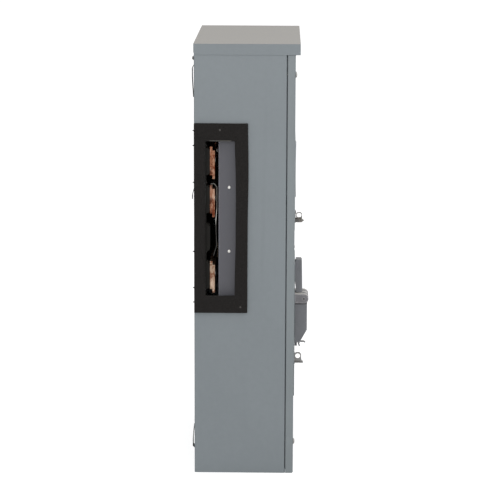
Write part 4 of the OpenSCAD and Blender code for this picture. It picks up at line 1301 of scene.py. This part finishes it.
@dataclass
class MeterCover(Assembly):
    """The ringless plate with its drawn rim, and the latch that holds it."""

    body: str = "meter_cover"
    dressing: Dressing = ((LATCH_SEAT, "latch_base"), (LATCH_STEEL, "meter_latch"))
    opening_radius: float = 76.5 * MM
    sheet: float = 1.6 * MM
    rim_dip: float = 1.4 * MM
    fillet: float = 4.5 * MM
    corner: float = 9 * MM
    per_side: int = 56

    def shaped(self) -> list[Piece]:
        """Makes the drawn plate."""
        plate = make_piece("meter_cover_plate", [self.plate()], COVER_ENAMEL.material(), sharp=50)
        return [self.stand_in(plate, "meter_cover", "steel_paint")]

    def plate(self) -> Shell:
        """The plate as one ring: round the opening in one direction, over its section in the other.

        The section climbs the bore, rolls over the lip, runs down a concave fillet to the plate,
        crosses it to the edge and returns along the back. The lip's height falls with the square of
        the distance from the top and bottom, so that it is lowest at the two sides.

        Returns:
            Places and quads.
        """
        low, high = (np.array(c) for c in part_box("meter_cover"))
        mount = next(m for m in frame["record"]["mounts"] if m["name"] == "meter_socket")
        centre = np.array([mount["pos_m"][0], mount["pos_m"][2]])
        outline = loop_outline((low[0], low[2]), (high[0], high[2]), self.corner, self.per_side) - centre
        distance = np.linalg.norm(outline, axis=1)
        ray = outline / distance[:, None]
        top = high[1] - low[1]
        lip = top - self.rim_dip * (1 - ray[:, 1] ** 2)
        count = len(ray)
        inner = np.full(count, self.opening_radius)
        roll = np.linspace(math.pi, 0, ARC_POINTS)
        half = self.sheet / 2
        curve = np.linspace(0, QUARTER_TURN, 8)
        wall = inner + self.sheet
        rows = [(inner, np.zeros(count)), (inner, lip * 0.5)]
        rows += [(inner + half + half * math.cos(t), lip - half + half * math.sin(t)) for t in roll]
        drop = np.maximum(lip - half - self.sheet - 0.2 * MM, 0.1 * MM)
        rows += [
            (wall + self.fillet * (1 - math.cos(t)), self.sheet + drop * (1 - math.sin(t))) for t in curve
        ]
        start = wall + self.fillet
        flat_run = distance - self.sheet - start
        rows += [(start + flat_run * s, np.full(count, self.sheet)) for s in (0.33, 0.66, 1.0)]
        rows += [
            (distance - self.sheet * (1 - math.sin(t)), np.full(count, self.sheet * math.cos(t) ** 0.8))
            for t in np.linspace(0, QUARTER_TURN, 5)[1:]
        ]
        radius, rise = (np.stack(column) for column in zip(*rows))
        flat = ray[None] * radius[..., None] + centre
        points = np.stack([flat[..., 0], high[1] - rise, flat[..., 1]], -1)
        return grid_shell(points, close_rows=True, close_columns=True)


@dataclass
class BreakerCover(Assembly):
    """The lower plate with its guard, hasp, rain hood and hinged lid."""

    body: str = "breaker_cover"
    dressing: Dressing = (
        (COVER_ENAMEL, "breaker_cover"),
        (LID_PLASTIC, "guard_block", "guard_shield", "breaker_lid"),
        (HOOD_PLASTIC_LIT_TOP, "lid_hood"),
        (HASP_STEEL, "breaker_hasp"),
        (DARK_ZINC, "lid_pin"),
    )


# ---------------------------------------- studio


@dataclass
class Studio:
    """Plain pale floor, soft light from above and from each side, and the camera beside the gasket."""

    stand_off: float = 5.2053
    forward_of_wall: float = 0.2369
    eye_height: float = 1.6634
    turn_deg: float = 0.966
    pitch_deg: float = 11.343
    roll_deg: float = 0.186
    lens_mm: float = 143.4
    sensor_mm: float = 36.0
    world_strength: float = 0.466
    floor_size: float = 60.0
    floor_tone: float = 0.5
    floor_glow: float = 0.7
    far_glow: float = 0.85
    glow_change: tuple[float, float] = (2.5, 9.0)
    softboxes: tuple[tuple[str, Place, float, float], ...] = (
        ("key_softbox", (-3.2, -2.2, 4.6), 3.2, 56),
        ("side_softbox", (-6.0, 0.4, 2.2), 2.6, 117),
        ("front_softbox", (1.8, -4.6, 2.6), 3.0, 90),
        ("top_softbox", (0.0, 0.3, 5.2), 3.0, 50),
        ("rear_softbox", (2.2, 4.8, 1.5), 3.0, 70),
    )

    def build(self) -> None:
        """Makes the floor, the lights, the world and the camera."""
        self.floor()
        for softbox in self.softboxes:
            self.light(*softbox)
        self.world()
        self.camera()

    def floor(self) -> None:
        """A floor that the camera sees as white, with the object's soft shadow left on it."""
        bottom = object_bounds()[0].z
        half = self.floor_size / 2
        corners = np.array([[[x, y, bottom] for y in (-half, half)] for x in (-half, half)])
        material = bpy.data.materials.new("pale_floor")
        tree = Tree.blank(material)
        away = tree.node("ShaderNodeVectorMath", {0: tree.place()}, operation="LENGTH").outputs["Value"]
        shine = tree.spread(away, *self.glow_change, self.floor_glow, self.far_glow)
        glow = tree.times(self.seen_by_camera(tree), shine)
        lit = {"Specular_IOR_Level": 0.0, "Emission_Color": WHITE, "Emission_Strength": glow}
        shader = tree.principled((self.floor_tone,) * 3, 0.9, **lit)
        tree.node("ShaderNodeOutputMaterial", {"Surface": shader})
        floor = make_piece("studio_floor", [grid_shell(corners)], material)
        floor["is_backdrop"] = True

    def light(self, name: str, place: Sequence[float], size: float, watts: float) -> None:
        """Makes a square softbox that faces the middle of the object.

        Args:
            name: of the lamp.
            place: where it stands.
            size: length of its side.
            watts: its power.
        """
        low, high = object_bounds()
        lamp = bpy.data.lights.new(name, "AREA")
        lamp.size, lamp.energy = size, watts
        softbox = bpy.data.objects.new(name, lamp)
        softbox.location = place
        softbox.rotation_euler = ((low + high) / 2 - Vector(place)).to_track_quat("-Z", "Y").to_euler()
        bpy.context.scene.collection.objects.link(softbox)

    def world(self) -> None:
        """Even pale light all round, and plain white where the camera or a gloss sees past the floor."""
        world = bpy.data.worlds.new("studio_world")
        tree = Tree.blank(world)
        strength = tree.spread(self.seen_by_camera(tree), 0, 1, self.world_strength, 1.0)
        shader = tree.node("ShaderNodeBackground", {"Color": WHITE, "Strength": strength})
        tree.node("ShaderNodeOutputWorld", {"Surface": shader.outputs[0]})
        bpy.context.scene.world = world

    def seen_by_camera(self, tree: Tree) -> Socket:
        """Tells what is seen from the light that falls.

        Args:
            tree: the nodes of a material or the world.

        Returns:
            1 for what the camera sees straight, mirrored or through glass, and 0 for the rest.
        """
        path = tree.node("ShaderNodeLightPath").outputs
        mirrored = tree.maths("MAXIMUM", path["Is Glossy Ray"], path["Is Transmission Ray"])
        return tree.maths("MAXIMUM", path["Is Camera Ray"], mirrored)

    def camera(self) -> None:
        """Stands off the gasket's side, higher than the cap, and looks along +X and down at the box."""
        low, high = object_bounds()
        lens = bpy.data.cameras.new("side_camera")
        lens.lens, lens.sensor_width = self.lens_mm, self.sensor_mm
        lens.clip_end = 2 * self.floor_size
        camera = bpy.data.objects.new("side_camera", lens)
        side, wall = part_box("body_wrap")[0].x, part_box("body_wrap")[1].y
        camera.location = (side - self.stand_off, wall - self.forward_of_wall, low.z + self.eye_height)
        turns = ((self.turn_deg - 90, "Z"), (90 - self.pitch_deg, "X"), (self.roll_deg, "Z"))
        turn, pitch, roll = (Matrix.Rotation(math.radians(angle), 4, axis) for angle, axis in turns)
        camera.rotation_euler = (turn @ pitch @ roll).to_euler()
        bpy.context.scene.collection.objects.link(camera)
        bpy.context.scene.camera = camera


def main() -> None:
    """Builds every sub-assembly in order, then the studio."""
    logging.basicConfig(level=logging.INFO, format="%(name)s: %(message)s")
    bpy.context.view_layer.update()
    for assembly in (SteelBox(), SideGasket(), BusStack(), InteriorPan(), MeterSocket(), MainBreaker(),
                     FrontCover(), MeterCover(), BreakerCover()):
        made = assembly.build()
        LOG.info("%s: %s", type(assembly).__name__, ", ".join(p.name for p in made) or "frame nodes dressed")
    Studio().build()
    bpy.context.scene.view_settings.view_transform = "Standard"


if __name__ == "__main__":
    main()
